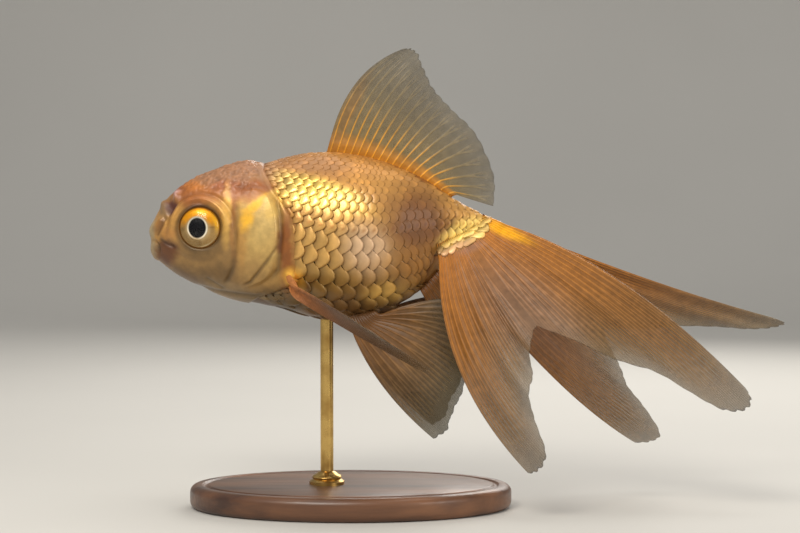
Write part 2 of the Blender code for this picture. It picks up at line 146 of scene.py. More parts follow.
def path_reach(spots: Array, path: Spots) -> Pair:
    """Measure places from a path of straight lengths.

    Args:
        spots: The places.
        path: The path's corners.

    Returns:
        Each place's distance from the path, and its share of the way along it.
    """
    best, run = np.full(spots.shape[:-1], 1e9), np.zeros(spots.shape[:-1])
    corners = np.array(path, dtype=float)
    lengths = np.linalg.norm(np.diff(corners, axis=0), axis=1)
    starts = np.concatenate([[0.0], np.cumsum(lengths)])
    for a, b, start, length in zip(corners, corners[1:], starts, lengths):
        share = np.clip(((spots - a) @ (b - a)) / length**2, 0.0, 1.0)
        distance = np.linalg.norm(spots - a - share[..., None] * (b - a), axis=-1)
        run = np.where(distance < best, (start + share * length) / starts[-1], run)
        best = np.minimum(best, distance)
    return best, run


def depth_inside(spots: Array, outline: Spots) -> Array:
    """Measure how deep spots lie inside a closed outline.

    Args:
        spots: The spots.
        outline: Its corners.

    Returns:
        Depths, negative outside.
    """
    crossings = np.zeros(spots.shape[:-1], dtype=int)
    closed = outline + outline[:1]
    for (x0, z0), (x1, z1) in zip(closed, closed[1:]):
        spans = (spots[..., 1] < z0) != (spots[..., 1] < z1)
        rise = z1 - z0 if z1 != z0 else 1e-9
        crossing = x0 + (spots[..., 1] - z0) * (x1 - x0) / rise
        crossings += spans & (spots[..., 0] < crossing)
    distance, _ = path_reach(spots, closed)
    return np.where(crossings % 2 == 1, distance, -distance)


def grain(places: Array, size: float, seed: int = 0) -> Array:
    """Soft random values from -1 to 1 that are the same each run.

    Args:
        places: Points, in millimetres.
        size: Distance between the values that are blended.
        seed: Number of the pattern.

    Returns:
        A value for each point.
    """
    scaled = np.asarray(places) / size
    cell = np.floor(scaled).astype(np.int64)
    share = scaled - cell
    share = share * share * (3 - 2 * share)
    total = np.zeros(scaled.shape[:-1])
    for corner in range(8):
        step = np.array([corner >> k & 1 for k in range(3)])
        key = cell + step
        mixed = key[..., 0] * 73856093 ^ key[..., 1] * 19349663 ^ key[..., 2] * 83492791
        mixed = (mixed ^ seed * 2654435761) & 0xFFFFFFFF
        mixed = ((mixed ^ mixed >> 15) * 2246822519) & 0xFFFFFFFF
        value = ((mixed ^ mixed >> 13) & 0xFFFF) / 32767.5 - 1
        total += value * np.where(step == 1, share, 1 - share).prod(axis=-1)
    return total


# ---- meshes


def deselect() -> None:
    """Leave nothing selected."""
    bpy.ops.object.select_all(action="DESELECT")


def take(*pieces: Piece) -> None:
    """Select objects and make the first of them active.

    Args:
        pieces: The objects.
    """
    deselect()
    for piece in pieces:
        piece.select_set(True)
    bpy.context.view_layer.objects.active = pieces[0]


def name_piece(piece: Piece, name: str) -> Piece:
    """Name an object and its mesh."""
    piece.name = piece.data.name = name
    return piece


def add_object(name: str, data: bpy.types.ID) -> Piece:
    """Put a new object with this data in the scene.

    Args:
        name: Its name.
        data: Its data.

    Returns:
        The object.
    """
    piece = bpy.data.objects.new(name, data)
    bpy.context.scene.collection.objects.link(piece)
    return piece


def grid_sheet(name: str, points: Array) -> Piece:
    """Add a grid primitive and lay its points on a shape.

    Args:
        name: The piece's name.
        points: Rows by columns of places, in millimetres.

    Returns:
        The new object.
    """
    rows, columns = points.shape[:2]
    deselect()
    bpy.ops.mesh.primitive_grid_add(
        x_subdivisions=columns - 1, y_subdivisions=rows - 1, size=1.0, location=(0, 0, 0)
    )
    sheet = name_piece(bpy.context.object, name)
    sheet.data.vertices.foreach_set("co", (points * MM).reshape(-1))
    sheet.data.update()
    return sheet


def weld(piece: Piece, distance: float = 0.004) -> None:
    """Merge a piece's doubled points, turn its faces outwards and shade it smooth.

    Args:
        piece: The mesh to close.
        distance: Largest gap to merge, in millimetres, or 0 where nothing is doubled.
    """
    take(piece)
    bpy.ops.object.mode_set(mode="EDIT")
    bpy.ops.mesh.select_all(action="SELECT")
    if distance:
        bpy.ops.mesh.remove_doubles(threshold=distance * MM)
        bpy.ops.mesh.dissolve_degenerate(threshold=distance * MM / 2)
    bpy.ops.mesh.normals_make_consistent(inside=False)
    bpy.ops.object.mode_set(mode="OBJECT")
    bpy.ops.object.shade_smooth()


def modify(piece: Piece, kind: str, **settings: float | str) -> None:
    """Apply a modifier to a piece.

    Args:
        piece: The mesh.
        kind: Type of modifier.
        settings: The modifier's settings.
    """
    modifier = piece.modifiers.new(kind.lower(), kind)
    for name, value in settings.items():
        setattr(modifier, name, value)
    take(piece)
    bpy.ops.object.modifier_apply(modifier=modifier.name)


def join(pieces: list[Piece], name: str) -> Piece:
    """Join meshes into the first of them.

    Args:
        pieces: The meshes.
        name: Name of the whole.

    Returns:
        The whole.
    """
    take(*pieces)
    bpy.ops.object.join()
    return name_piece(pieces[0], name)


def store(piece: Piece, tint: Array, level: Array, places: Array, level_name: str = "Shine") -> None:
    """Store a tint and a level at each of a mesh's points, and give it the UV map OFBake.

    Args:
        piece: The mesh.
        tint: A colour for each point.
        level: A number for each point.
        places: A place on the map for each point.
        level_name: The number's name, which the material reads.
    """
    points = tint.reshape(-1, 3)
    layer = piece.data.attributes.new("Tint", "FLOAT_COLOR", "POINT")
    colours = np.concatenate([points, np.ones((len(points), 1))], axis=1)
    layer.data.foreach_set("color", colours.astype(np.float32).reshape(-1))
    layer = piece.data.attributes.new(level_name, "FLOAT", "POINT")
    layer.data.foreach_set("value", level.astype(np.float32).reshape(-1))
    corners = np.empty(len(piece.data.loops), dtype=np.int32)
    piece.data.loops.foreach_get("vertex_index", corners)
    while piece.data.uv_layers:
        piece.data.uv_layers.remove(piece.data.uv_layers[0])
    layer = piece.data.uv_layers.new(name="OFBake")
    layer.data.foreach_set("uv", places.reshape(-1, 2)[corners].astype(np.float32).reshape(-1))


def finish_piece(piece: Piece, finish: Material, slot: str, *nodes: str) -> None:
    """Dress a piece, say what it rides on, and hide the CAD nodes that it stands for.

    Args:
        piece: The finished mesh.
        finish: Its material.
        slot: The record's material slot. It is not used.
        nodes: The CAD nodes that it replaces.
    """
    piece.data.materials.clear()
    piece.data.materials.append(finish)
    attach(piece, BODY)
    if nodes:
        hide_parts(*nodes)
    LOG.info("%s: %d faces", piece.name, len(piece.data.polygons))


# ---- body


@dataclass(frozen=True)
class Station:
    """One section of the body: its place, outline heights, half width and roundness."""

    x: float
    top: float
    bottom: float
    half_width: float
    widest: float
    upper_power: float
    lower_power: float
    bow: float


@dataclass
class BodyForm:
    """The body's outer form, which the skin and the scales are laid on."""

    stations: tuple[Station, ...] = (
        Station(-38.2, 52.9, 51.3, 1.0, 52.1, 2.0, 2.0, 0.0),
        Station(-37.7, 55.3, 48.7, 3.3, 52.0, 2.2, 2.2, 0.0),
        Station(-35.9, 58.6, 46.9, 5.0, 52.2, 2.2, 2.2, 0.0),
        Station(-33.2, 61.4, 44.9, 6.4, 52.6, 2.2, 2.2, 0.0),
        Station(-29.8, 63.6, 43.1, 7.6, 53.2, 2.25, 2.15, 0.2),
        Station(-26.0, 65.1, 41.3, 8.5, 53.4, 2.3, 2.1, 0.6),
        Station(-22.6, 66.3, 40.1, 9.1, 53.2, 2.3, 2.1, 1.3),
        Station(-19.6, 66.9, 39.4, 9.5, 52.8, 2.25, 2.1, 2.2),
        Station(-17.6, 66.5, 39.0, 9.75, 52.4, 2.2, 2.1, 3.2),
        Station(-15.6, 66.8, 38.6, 9.95, 52.0, 2.1, 2.1, 3.6),
        Station(-10.6, 68.1, 37.6, 10.3, 51.4, 2.0, 2.15, 3.0),
        Station(-4.6, 68.8, 36.3, 10.4, 50.8, 1.95, 2.2, 1.6),
        Station(2.0, 68.1, 36.8, 9.8, 51.0, 1.9, 2.2, 0.4),
        Station(8.6, 66.2, 38.5, 8.2, 52.4, 1.9, 2.15, -0.4),
        Station(14.4, 63.5, 42.7, 5.9, 53.6, 1.9, 2.0, -0.8),
        Station(19.4, 60.2, 48.2, 3.7, 54.4, 2.0, 2.0, -0.4),
        Station(24.0, 57.5, 51.6, 2.2, 54.6, 2.0, 2.0, 0.0),
        Station(27.2, 55.6, 53.0, 0.9, 54.3, 2.0, 2.0, 0.0),
    )
    # lateral line: its lowest place, its curve up to the gills, its rise to the tail and where that ends
    line_low: Spot = (4.0, 53.6)
    line_curve: float = 0.013
    line_rise: float = 1.2
    line_end: float = 16.0
    girth_reach: float = 40.0
    girth_steps: int = 401
    table: Array = field(init=False)
    turns_by_girth: Array = field(init=False)
    flank_x: Array = field(init=False)

    def __post_init__(self) -> None:
        """Measure the way round the body from the lateral line, and list angles by that distance."""
        names = Station.__dataclass_fields__
        self.table = np.array([[getattr(s, n) for n in names] for s in self.stations])
        turns = np.linspace(-math.pi / 2, math.pi / 2, 361)
        steps = np.linspace(0.0, self.last, 341)
        loops = self.points(steps[:, None], turns[None, :])
        lengths = np.linalg.norm(np.diff(loops, axis=1), axis=-1)
        summed = np.concatenate([np.zeros((len(steps), 1)), np.cumsum(lengths, axis=1)], axis=1)
        wanted = np.linspace(-self.girth_reach, self.girth_reach, self.girth_steps)
        rows = []
        for loop, way in zip(loops, summed):
            zero = np.interp(0.0, loop[:, 2] - self.line_height(loop[:, 0]), way)
            rows.append(np.interp(wanted, way - zero, turns))
        self.turns_by_girth = np.array(rows)
        self.flank_x = self.points(steps, 0.0)[:, 0]

    @property
    def last(self) -> float:
        """Number of the last station."""
        return float(len(self.stations) - 1)

    def line_height(self, x: Array) -> Array:
        """Height of the lateral line.

        Args:
            x: Places along the fish.

        Returns:
            Heights.
        """
        low_x, low_z = self.line_low
        before = np.minimum(x - low_x, 0.0)
        return low_z + self.line_curve * before**2 + self.line_rise * ease(low_x, self.line_end, x)

    def points(self, t: Array, turn: Array) -> Array:
        """Places on the surface.

        Args:
            t: Station numbers, which need not be whole.
            turn: Angles round the body: 0 on the left flank, a quarter turn on the back.

        Returns:
            Places in millimetres.
        """
        t, turn = np.broadcast_arrays(t, turn)
        s = smooth(self.table, t)
        x, top, bottom, half, widest, upper, lower, bow = (s[..., k] for k in range(8))
        power = np.where(np.sin(turn) >= 0, upper, lower)
        height = np.where(np.sin(turn) >= 0, top, bottom) - widest
        across = signed_power(np.cos(turn), 2 / power)
        z = widest + height * np.abs(np.sin(turn)) ** (2 / power)
        level = (z - (top + bottom) / 2) / ((top - bottom) / 2)
        return np.stack([x + bow * (1 - level**2), -half * across, z], axis=-1)

    def station_at(self, x: Array) -> Array:
        """Station number where the middle of the flank reaches x."""
        return np.interp(x, self.flank_x, np.linspace(0.0, self.last, len(self.flank_x)))

    def flank_point(self, x: Array, girth: Array) -> Array:
        """Place on the left flank, by how far back it is and its way round from the lateral line."""
        t = self.station_at(x)
        return self.points(t, self.turn_at(t, girth))

    def turn_at(self, t: Array, girth: Array) -> Array:
        """Angle at a distance round the body from the lateral line.

        Args:
            t: Station numbers.
            girth: Distances, upwards positive.

        Returns:
            Angles.
        """
        row = np.clip(np.asarray(t) / self.last, 0, 0.99999) * (len(self.turns_by_girth) - 1)
        share = np.clip(0.5 + np.asarray(girth) / self.girth_reach / 2, 0, 0.99999)
        column = share * (self.girth_steps - 1)
        i, k = row.astype(int), column.astype(int)
        a, b = row - i, column - k
        near = self.turns_by_girth[i, k] * (1 - b) + self.turns_by_girth[i, k + 1] * b
        far = self.turns_by_girth[i + 1, k] * (1 - b) + self.turns_by_girth[i + 1, k + 1] * b
        return near * (1 - a) + far * a

    def normals(self, t: Array, turn: Array, step: float = 0.02) -> Array:
        """Find the directions square to the surface.

        Args:
            t: Station numbers.
            turn: Angles round the body.
            step: How far apart to measure.

        Returns:
            Outward directions.
        """
        across = self.points(t, turn + step) - self.points(t, turn - step)
        along = self.points(t + step, turn) - self.points(t - step, turn)
        return unit(np.cross(along, across))


# ---- colour marks, painted highlights and painted shade


@dataclass(frozen=True)
class Oval:
    """A leaning oval on the side of the fish."""

    x: float
    z: float
    long: float
    high: float

    def reach(self, spots: Array, lean: float) -> Array:
        """How far out spots lie from the middle.

        Args:
            spots: The spots.
            lean: Angle of the oval's lean.

        Returns:
            Shares, 1 on the rim.
        """
        dx, dz = spots[..., 0] - self.x, spots[..., 1] - self.z
        c, s = math.cos(lean), math.sin(lean)
        return np.hypot((dx * c + dz * s) / self.long, (dz * c - dx * s) / self.high)


@dataclass(frozen=True)
class Mark(Oval):
    """A soft-edged mark of colour on the fish, as it is seen from the side; some are painted light and
    shade.
    """

    colour: Colour
    strength: float = 1.0
    softness: float = 0.6
    lean: float = 0.0
    shine: float = 0.3
    clear_of_middle: float = 0.0

    def weight(self, spots: Array) -> Array:
        """Share of this mark at each spot."""
        reach = self.reach(spots, self.lean)
        return self.strength * (1 - ease(1 - self.softness, 1 + self.softness, reach))


# the belly colour is darkened partly as painted shade
BACK, FLANK, BELLY = tone(194, 136, 66), tone(200, 148, 76), tone(134, 98, 48)

MARKS_AND_PAINTED_LIGHT = (
    # trunk
    # golden band along the upper flank, brightened with a painted highlight
    Mark(-7.0, 60.8, 10.0, 2.6, tone(252, 216, 112), 0.95, 0.5, -0.26, 0.9),
    Mark(-12.4, 62.0, 4.2, 2.2, tone(252, 218, 124), 0.9, 0.5, -0.5, 0.9),
    Mark(-9.0, 66.8, 9.0, 2.4, tone(160, 110, 60), 0.8, 0.5, -0.16, 0.18),
    Mark(1.8, 56.6, 4.0, 2.2, tone(208, 156, 78), 0.5, 0.7, -0.35, 0.6),
    Mark(5.6, 59.6, 3.6, 2.2, tone(178, 128, 66), 0.7, 0.8, -0.2, 0.3),
    Mark(-6.0, 50.0, 8.0, 6.0, tone(206, 162, 90), 0.75, 0.7, 0.0, 0.6),
    Mark(3.4, 50.6, 4.2, 4.4, tone(206, 174, 142), 0.75, 0.7, 0.0, 0.45),
    # lower flank, darkened partly as painted shade
    Mark(-7.0, 44.6, 7.0, 2.6, tone(166, 130, 66), 0.7, 0.7, 0.0, 0.6),
    Mark(6.6, 41.6, 4.4, 2.2, tone(206, 162, 78), 0.85, 0.7, 0.35, 0.5),
    # rear of the trunk, its brown darkened with painted shade
    Mark(13.0, 55.0, 6.0, 7.0, tone(104, 58, 14), 0.92, 0.6, 0.1, 0.08),
    Mark(12.5, 46.5, 4.6, 3.6, tone(148, 98, 36), 0.8, 0.7, 0.4, 0.35),
    # gold patch before the tail, brightened with a painted highlight
    Mark(21.8, 52.6, 4.8, 2.8, tone(252, 216, 118), 0.98, 0.4, 0.5, 0.4),
    Mark(20.8, 50.1, 4.2, 1.2, tone(196, 146, 108), 0.85, 0.7, 0.45, 0.3),
    # underside of the belly and throat, darkened partly as painted shade
    Mark(0.0, 37.4, 13.0, 2.8, tone(94, 64, 28), 0.85, 0.8, 0.0, 0.3),
    Mark(-15.0, 40.0, 8.5, 2.6, tone(100, 80, 46), 0.9, 0.6, 0.08, 0.2),
    Mark(-15.9, 64.9, 1.9, 2.3, tone(226, 172, 108), 0.85, 0.7, 0.3, 0.2),
    # cheek, crown and forehead
    Mark(-27.0, 48.0, 11.5, 6.0, tone(138, 106, 60), 0.92, 0.5, 0.15, 0.22),
    Mark(-24.5, 45.0, 5.0, 2.4, tone(104, 78, 42), 0.7, 0.8, 0.1, 0.2),
    Mark(-25.0, 66.0, 11.5, 5.0, tone(156, 108, 74), 0.95, 0.4, -0.18, 0.1),
    Mark(-31.5, 61.0, 5.6, 2.2, tone(142, 76, 24), 0.95, 0.6, -0.66, 0.12),
    Mark(-24.0, 61.6, 4.4, 1.3, tone(152, 76, 36), 0.7, 0.7, 0.1, 0.12),
    Mark(-29.6, 62.0, 2.6, 1.4, tone(184, 110, 40), 0.8, 0.7, -0.5, 0.12),
    Mark(-28.2, 60.0, 4.0, 1.2, tone(176, 106, 46), 0.7, 0.7, 0.0, 0.12),
    # gold band behind the eye, and a soft brown band of painted shade in the groove at the gill cover's
    # front edge
    Mark(-23.2, 56.4, 1.0, 4.8, tone(236, 184, 92), 0.92, 0.6, 0.0, 0.18),
    Mark(-21.4, 55.2, 0.75, 6.2, tone(152, 82, 22), 0.88, 0.7, 0.0, 0.15),
    # gill cover
    Mark(-17.3, 53.0, 4.2, 8.6, tone(196, 160, 92), 0.95, 0.35, 0.0, 0.45),
    Mark(-16.4, 54.8, 2.4, 3.6, tone(208, 176, 108), 0.7, 0.7, 0.0, 0.4),
    Mark(-18.0, 45.6, 3.2, 3.0, tone(160, 124, 70), 0.85, 0.7, 0.0, 0.3),
    Mark(-20.2, 51.6, 1.0, 4.4, tone(176, 122, 54), 0.6, 0.7, 0.0, 0.25),
    Mark(-17.6, 61.4, 4.2, 1.6, tone(150, 78, 22), 0.9, 0.6, 0.16, 0.1),
    Mark(-17.7, 60.0, 2.2, 1.0, tone(172, 108, 34), 0.6, 0.8, 0.3, 0.15),
    Mark(-14.6, 57.6, 1.2, 1.6, tone(218, 180, 96), 0.8, 0.7, -0.3, 0.4),
    Mark(-17.5, 58.7, 2.3, 0.6, tone(244, 184, 42), 0.95, 0.8, 0.62, 0.2),
    Mark(-19.3, 55.9, 0.8, 1.8, tone(246, 184, 38), 0.9, 0.8, -0.3, 0.2),
    # shoulder band and throat
    # shoulder band: brown, darkened with painted shade in the hollow behind the gill cover
    Mark(-12.0, 50.0, 1.5, 7.4, tone(130, 70, 12), 0.95, 0.5, 0.0, 0.15),
    Mark(-13.0, 59.8, 1.7, 1.5, tone(226, 176, 84), 0.8, 0.6, -0.5, 0.5),
    # painted shadow above the root of the pectoral fin
    Mark(-8.6, 43.4, 1.8, 0.9, tone(84, 50, 16), 0.85, 0.6, -0.6, 0.1),
    Mark(-10.7, 44.7, 2.0, 1.5, tone(246, 186, 70), 0.95, 0.6, -0.7, 0.6),
    Mark(-23.0, 42.0, 7.0, 1.6, tone(148, 124, 88), 0.8, 0.7, -0.2, 0.25),
    Mark(-31.0, 44.6, 4.0, 1.6, tone(92, 66, 34), 0.7, 0.7, -0.6, 0.15),
    # lips, mouth side, cheek bone, nostril and its flap
    Mark(-38.0, 53.8, 1.0, 2.0, tone(158, 142, 108), 0.9, 0.5, 0.0, 0.12),
    Mark(-37.8, 50.0, 1.0, 1.7, tone(160, 142, 108), 0.9, 0.5, 0.3, 0.12),
    # dark side of the mouth: painted shade in its fold
    Mark(-34.9, 49.4, 2.3, 2.3, tone(92, 50, 18), 0.95, 0.5, 0.4, 0.08),
    Mark(-34.2, 53.0, 1.6, 1.1, tone(176, 120, 60), 0.6, 0.6, 0.3, 0.2),
    Mark(-36.2, 54.4, 0.8, 1.6, tone(112, 68, 34), 0.7, 0.7, -0.4, 0.12),
    # nostril pit: its own purple-brown, deepened with painted shade
    Mark(-34.2, 58.1, 1.3, 1.6, tone(104, 50, 38), 0.95, 0.5, 0.0, 0.08, 1.8),
    Mark(-38.9, 51.6, 0.6, 3.2, tone(204, 192, 166), 0.8, 0.6, 0.0, 0.1),
    Mark(-36.0, 57.6, 1.1, 1.7, tone(126, 104, 76), 0.75, 0.6, 0.3, 0.15, 1.6),
    Mark(-33.0, 60.6, 0.6, 0.9, tone(172, 140, 140), 0.8, 0.6, 0.0, 0.15, 1.6),
)


def markings_and_painted_light(places: Array) -> Pair:
    """Colour and shine of the fish at places on its body, painted highlights and shade included.

    Args:
        places: Points, in millimetres.

    Returns:
        Colours, and how much like bright metal each place is, from 0 to 1.
    """
    wander = np.stack([grain(places, 3.0, 5), grain(places, 3.0, 9)], axis=-1)
    fray = np.stack([grain(places, 0.7, 15), grain(places, 0.7, 19)], axis=-1)
    spots = places[..., [0, 2]] + wander * 0.5 + fray * 0.28
    rise, fall = ease(40.0, 51.0, spots[..., 1]), ease(58.0, 67.0, spots[..., 1])
    colours = mix(mix(np.array(BELLY), np.array(FLANK), rise), np.array(BACK), fall)
    shine = 0.35 + 0.25 * rise - 0.2 * fall
    for mark in MARKS_AND_PAINTED_LIGHT:
        share = mark.weight(spots)
        if mark.clear_of_middle:
            share = share * ease(0.3, mark.clear_of_middle, np.abs(places[..., 1]))
        colours = mix(colours, np.array(mark.colour), share)
        shine = shine * (1 - share) + mark.shine * share
    return colours, shine


@dataclass(frozen=True)
class ScaledArea:
    """Where the body carries scales: how far forward and back they go at each height."""

    front: Spots = (
        (39.0, -20.4), (40.6, -18.0), (42.0, -14.0), (43.4, -11.4), (45.0, -10.9), (54.0, -10.9),
        (56.5, -11.5), (58.0, -12.6), (60.5, -14.2), (64.0, -16.2), (66.5, -17.3), (70.0, -17.6),
    )
    rear: Spots = (
        (44.0, 14.8), (48.4, 16.6), (49.4, 20.4), (50.6, 23.6), (52.4, 25.2), (55.0, 25.8), (62.0, 26.5),
    )

    def depth(self, places: Array) -> Array:
        """How far places lie inside the scaled area, lengthwise.

        Args:
            places: The places.

        Returns:
            Depths, negative outside.
        """
        front = np.interp(places[..., 2], *zip(*self.front))
        rear = np.interp(places[..., 2], *zip(*self.rear))
        return np.minimum(places[..., 0] - front, rear - places[..., 0])


SCALED = ScaledArea()


# ---- finishes


class MaterialTree:
    """A material's node tree, built up call by call."""

    def __init__(self, name: str) -> None:
        """Start a material.

        Args:
            name: Its name.
        """
        self.material = bpy.data.materials.new(name)
        self.material.use_nodes = True
        self.tree = self.material.node_tree
        self.where = self.node("TexCoord", "Object")

    def fill(self, node: bpy.types.Node, inputs: Inputs) -> None:
        """Link each input of a node to a socket, or set it to a value.

        Args:
            node: The node.
            inputs: Sockets or values by input.
        """
        for key, value in inputs.items():
            if isinstance(value, Socket):
                self.tree.links.new(value, node.inputs[key])
            else:
                node.inputs[key].default_value = value

    def node(self, kind: str, output: str, inputs: Inputs | None = None, **settings: str) -> Socket:
        """Add a node.

        Args:
            kind: The kind of node.
            output: The output that is wanted.
            inputs: Sockets or values for its inputs.
            settings: The node's own settings.

        Returns:
            The output.
        """
        node = self.tree.nodes.new(f"ShaderNode{kind}")
        for name, value in settings.items():
            setattr(node, name, value)
        self.fill(node, inputs or {})
        return node.outputs[output]

    def finish(self, inputs: Inputs) -> Material:
        """Fill the shader's inputs and hand over the material."""
        self.fill(self.tree.nodes["Principled BSDF"], inputs)
        return self.material

    def stored(self, name: str, output: str = "Color") -> Socket:
        """Colour or number that the mesh stores."""
        return self.node("Attribute", output, attribute_name=name)

    def noise(self, scale: float, stretch: Place = (1.0, 1.0, 1.0), detail: float = 3.0) -> Socket:
        """Cloudy pattern in the object's own space.

        Args:
            scale: Waves to the metre.
            stretch: Share of that scale on each axis.
            detail: Finer waves that are added.

        Returns:
            The pattern, from 0 to 1.
        """
        place = self.node("Mapping", "Vector", {"Vector": self.where, "Scale": stretch})
        return self.node("TexNoise", "Fac", {"Vector": place, "Scale": scale, "Detail": detail})

    def ranged(self, source: Socket, low: float, high: float, span: Spot = (0.0, 1.0)) -> Socket:
        """Spread one range of values over another."""
        ends = {"From Min": span[0], "From Max": span[1], "To Min": low, "To Max": high}
        return self.node("MapRange", "Result", {"Value": source, **ends})

    def swing(self, source: Socket, amount: float) -> Socket:
        """Turn a cloudy pattern into a factor that swings about 1."""
        return self.ranged(source, 1 - amount, 1 + amount, (0.3, 0.7))

    def scaled(self, colour: Socket, factor: Socket) -> Socket:
        """Colour times a factor."""
        return self.node("VectorMath", "Vector", {0: colour, "Scale": factor}, operation="SCALE")

    def ramp(self, source: Socket, stops: tuple[tuple[float, Colour], ...]) -> Socket:
        """Colours by the value of a pattern.

        Args:
            source: The pattern.
            stops: Values with their colours, lowest first.

        Returns:
            The colour.
        """
        node = self.tree.nodes.new("ShaderNodeValToRGB")
        for element, (place, colour) in zip(node.color_ramp.elements, stops):
            element.position = place
            element.color = (*colour, 1.0)
        self.fill(node, {"Fac": source})
        return node.outputs["Color"]

    def relief(self, source: Socket, strength: float, depth: float) -> Socket:
        """Surface directions roughened by a pattern.

        Args:
            source: The pattern's height.
            strength: Share of the relief that shows.
            depth: Height of the relief, in millimetres.

        Returns:
            The directions.
        """
        inputs = {"Height": source, "Strength": strength, "Distance": depth * MM}
        return self.node("Bump", "Normal", inputs)


@dataclass(frozen=True)
class LivingFinish:
    """Wet skin, scale or eye: its stored tint, a metal glint where its stored shine is, fine grain."""

    name: str
    mottle_scale: float = 700.0
    mottle: float = 0.14
    grain_scale: float = 2600.0
    bump: float = 0.25
    metal: float = 0.75
    dull_roughness: float = 0.5
    bright_roughness: float = 0.3
    coat: float = 0.3
    coat_roughness: float = 0.15
    specular: float = 0.5

    def make(self) -> Material:
        """Build the material.

        Returns:
            The material.
        """
        tree = MaterialTree(self.name)
        shine = tree.stored("Shine")
        mottle = tree.swing(tree.noise(self.mottle_scale), self.mottle)
        inputs = {
            "Base Color": tree.scaled(tree.stored("Tint"), mottle),
            "Metallic": tree.ranged(shine, 0.0, self.metal),
            "Roughness": tree.ranged(shine, self.dull_roughness, self.bright_roughness),
            "Normal": tree.relief(tree.noise(self.grain_scale), self.bump, 0.1),
            "Coat Weight": self.coat,
            "Coat Roughness": self.coat_roughness,
            "Specular IOR Level": self.specular,
        }
        return tree.finish(inputs)


@dataclass(frozen=True)
class FinFinish:
    """Clear fin skin on rays: its stored tint and veil, a faint streak across the rays."""

    name: str
    streak_scale: float = 900.0
    streak: float = 0.14
    roughness: float = 0.44
    bump: float = 0.2
    coat: float = 0.05
    coat_roughness: float = 0.2
    specular: float = 0.3

    def make(self) -> Material:
        """Build the material.

        Returns:
            The material.
        """
        tree = MaterialTree(self.name)
        streaks = tree.noise(self.streak_scale)
        inputs = {
            "Base Color": tree.scaled(tree.stored("Tint"), tree.swing(streaks, self.streak)),
            "Alpha": tree.stored("Veil", "Fac"),
            "Normal": tree.relief(streaks, self.bump, 0.1),
            "Roughness": self.roughness,
            "Specular IOR Level": self.specular,
            "Coat Weight": self.coat,
            "Coat Roughness": self.coat_roughness,
        }
        return tree.finish(inputs)


@dataclass(frozen=True)
class CorneaFinish:
    """Clear wet dome: it shows the eye beneath it and a small bright reflection."""

    name: str = "eye_cornea_clear"
    presence: float = 0.008
    roughness: float = 0.1

    def make(self) -> Material:
        """Build the material.

        Returns:
            The material.
        """
        tree = MaterialTree(self.name)
        inputs = {
            "Normal": tree.relief(tree.noise(300.0), 0.05, 0.05),
            "Base Color": (1.0, 1.0, 1.0, 1.0),
            "Metallic": 1.0,
            "Roughness": self.roughness,
            "Alpha": self.presence,
        }
        return tree.finish(inputs)


@dataclass(frozen=True)
class WoodFinish:
    """Oiled dark wood with grain along X."""

    name: str = "base_walnut"
    light: Colour = tone(122, 80, 50)
    dark: Colour = tone(64, 38, 24)
    grain_scale: float = 130.0
    grain_stretch: Place = (0.12, 1.0, 1.6)
    pore_scale: float = 1820.0
    pore_stretch: Place = (0.05, 1.0, 1.0)

    def make(self) -> Material:
        """Build the material.

        Returns:
            The material.
        """
        tree = MaterialTree(self.name)
        figure = tree.noise(self.grain_scale, self.grain_stretch, 6.0)
        pores = tree.noise(self.pore_scale, self.pore_stretch, 2.0)
        inputs = {
            "Base Color": tree.ramp(figure, ((0.36, self.dark), (0.64, self.light))),
            "Roughness": tree.ranged(pores, 0.3, 0.5),
            "Normal": tree.relief(pores, 0.25, 0.15),
            "Coat Weight": 0.25,
            "Coat Roughness": 0.25,
        }
        return tree.finish(inputs)


@dataclass(frozen=True)
class BrassFinish:
    """Satin brass with fine turning marks."""

    name: str = "rod_satin_brass"
    bright: Colour = tone(214, 178, 106)
    worn: Colour = tone(176, 138, 76)

    def make(self) -> Material:
        """Build the material.

        Returns:
            The material.
        """
        tree = MaterialTree(self.name)
        cloud = tree.noise(260.0, detail=4.0)
        rings = tree.noise(900.0, (0.1, 0.1, 6.0), 2.0)
        inputs = {
            "Base Color": tree.ramp(cloud, ((0.35, self.worn), (0.6, self.bright))),
            "Roughness": tree.ranged(cloud, 0.34, 0.22),
            "Normal": tree.relief(rings, 0.12, 0.05),
            "Metallic": 1.0,
        }
        return tree.finish(inputs)


@dataclass(frozen=True)
class StageFinish:
    """Pale matt floor and backdrop."""

    name: str = "stage_pale"
    first: Colour = tone(206, 204, 199)
    second: Colour = tone(199, 197, 192)

    def make(self) -> Material:
        """Build the material.

        Returns:
            The material.
        """
        tree = MaterialTree(self.name)
        paint = tree.ramp(tree.noise(4.0), ((0.3, self.first), (0.7, self.second)))
        return tree.finish({"Base Color": paint, "Roughness": 0.85})


# ---- skin


@dataclass(frozen=True)
class Fold:
    """A ridge, or a groove where its height is negative, along a path on the side of the body."""

    path: Spots
    width: float
    height: float
    shade: float = 0.0
    fade: float = 0.18


@dataclass(frozen=True)
class Pad(Oval):
    """A soft bump, or a pit where its height is negative."""

    height: float
    lean: float = 0.0
    shade: float = 0.0
    clear_of_middle: float = 0.0


OPERCLE = (
    (-21.4, 60.2), (-20.6, 61.0), (-18.6, 62.0), (-16.3, 61.6), (-14.6, 59.8), (-13.6, 56.5),
    (-13.3, 52.8), (-13.7, 50.4), (-13.8, 49.0), (-14.2, 46.4), (-15.6, 44.2), (-18.4, 42.9),
    (-20.6, 42.7), (-22.9, 43.2), (-22.2, 44.8), (-21.5, 46.6), (-21.3, 52.0),
)


def rounded(outline: Spots, steps: int = 3) -> Spots:
    """Round off a closed outline's corners, with a few steps for each of its sides."""
    shares = np.arange(len(outline) * steps) / steps
    return tuple(map(tuple, smooth(np.array(outline + outline[:1]), shares)))


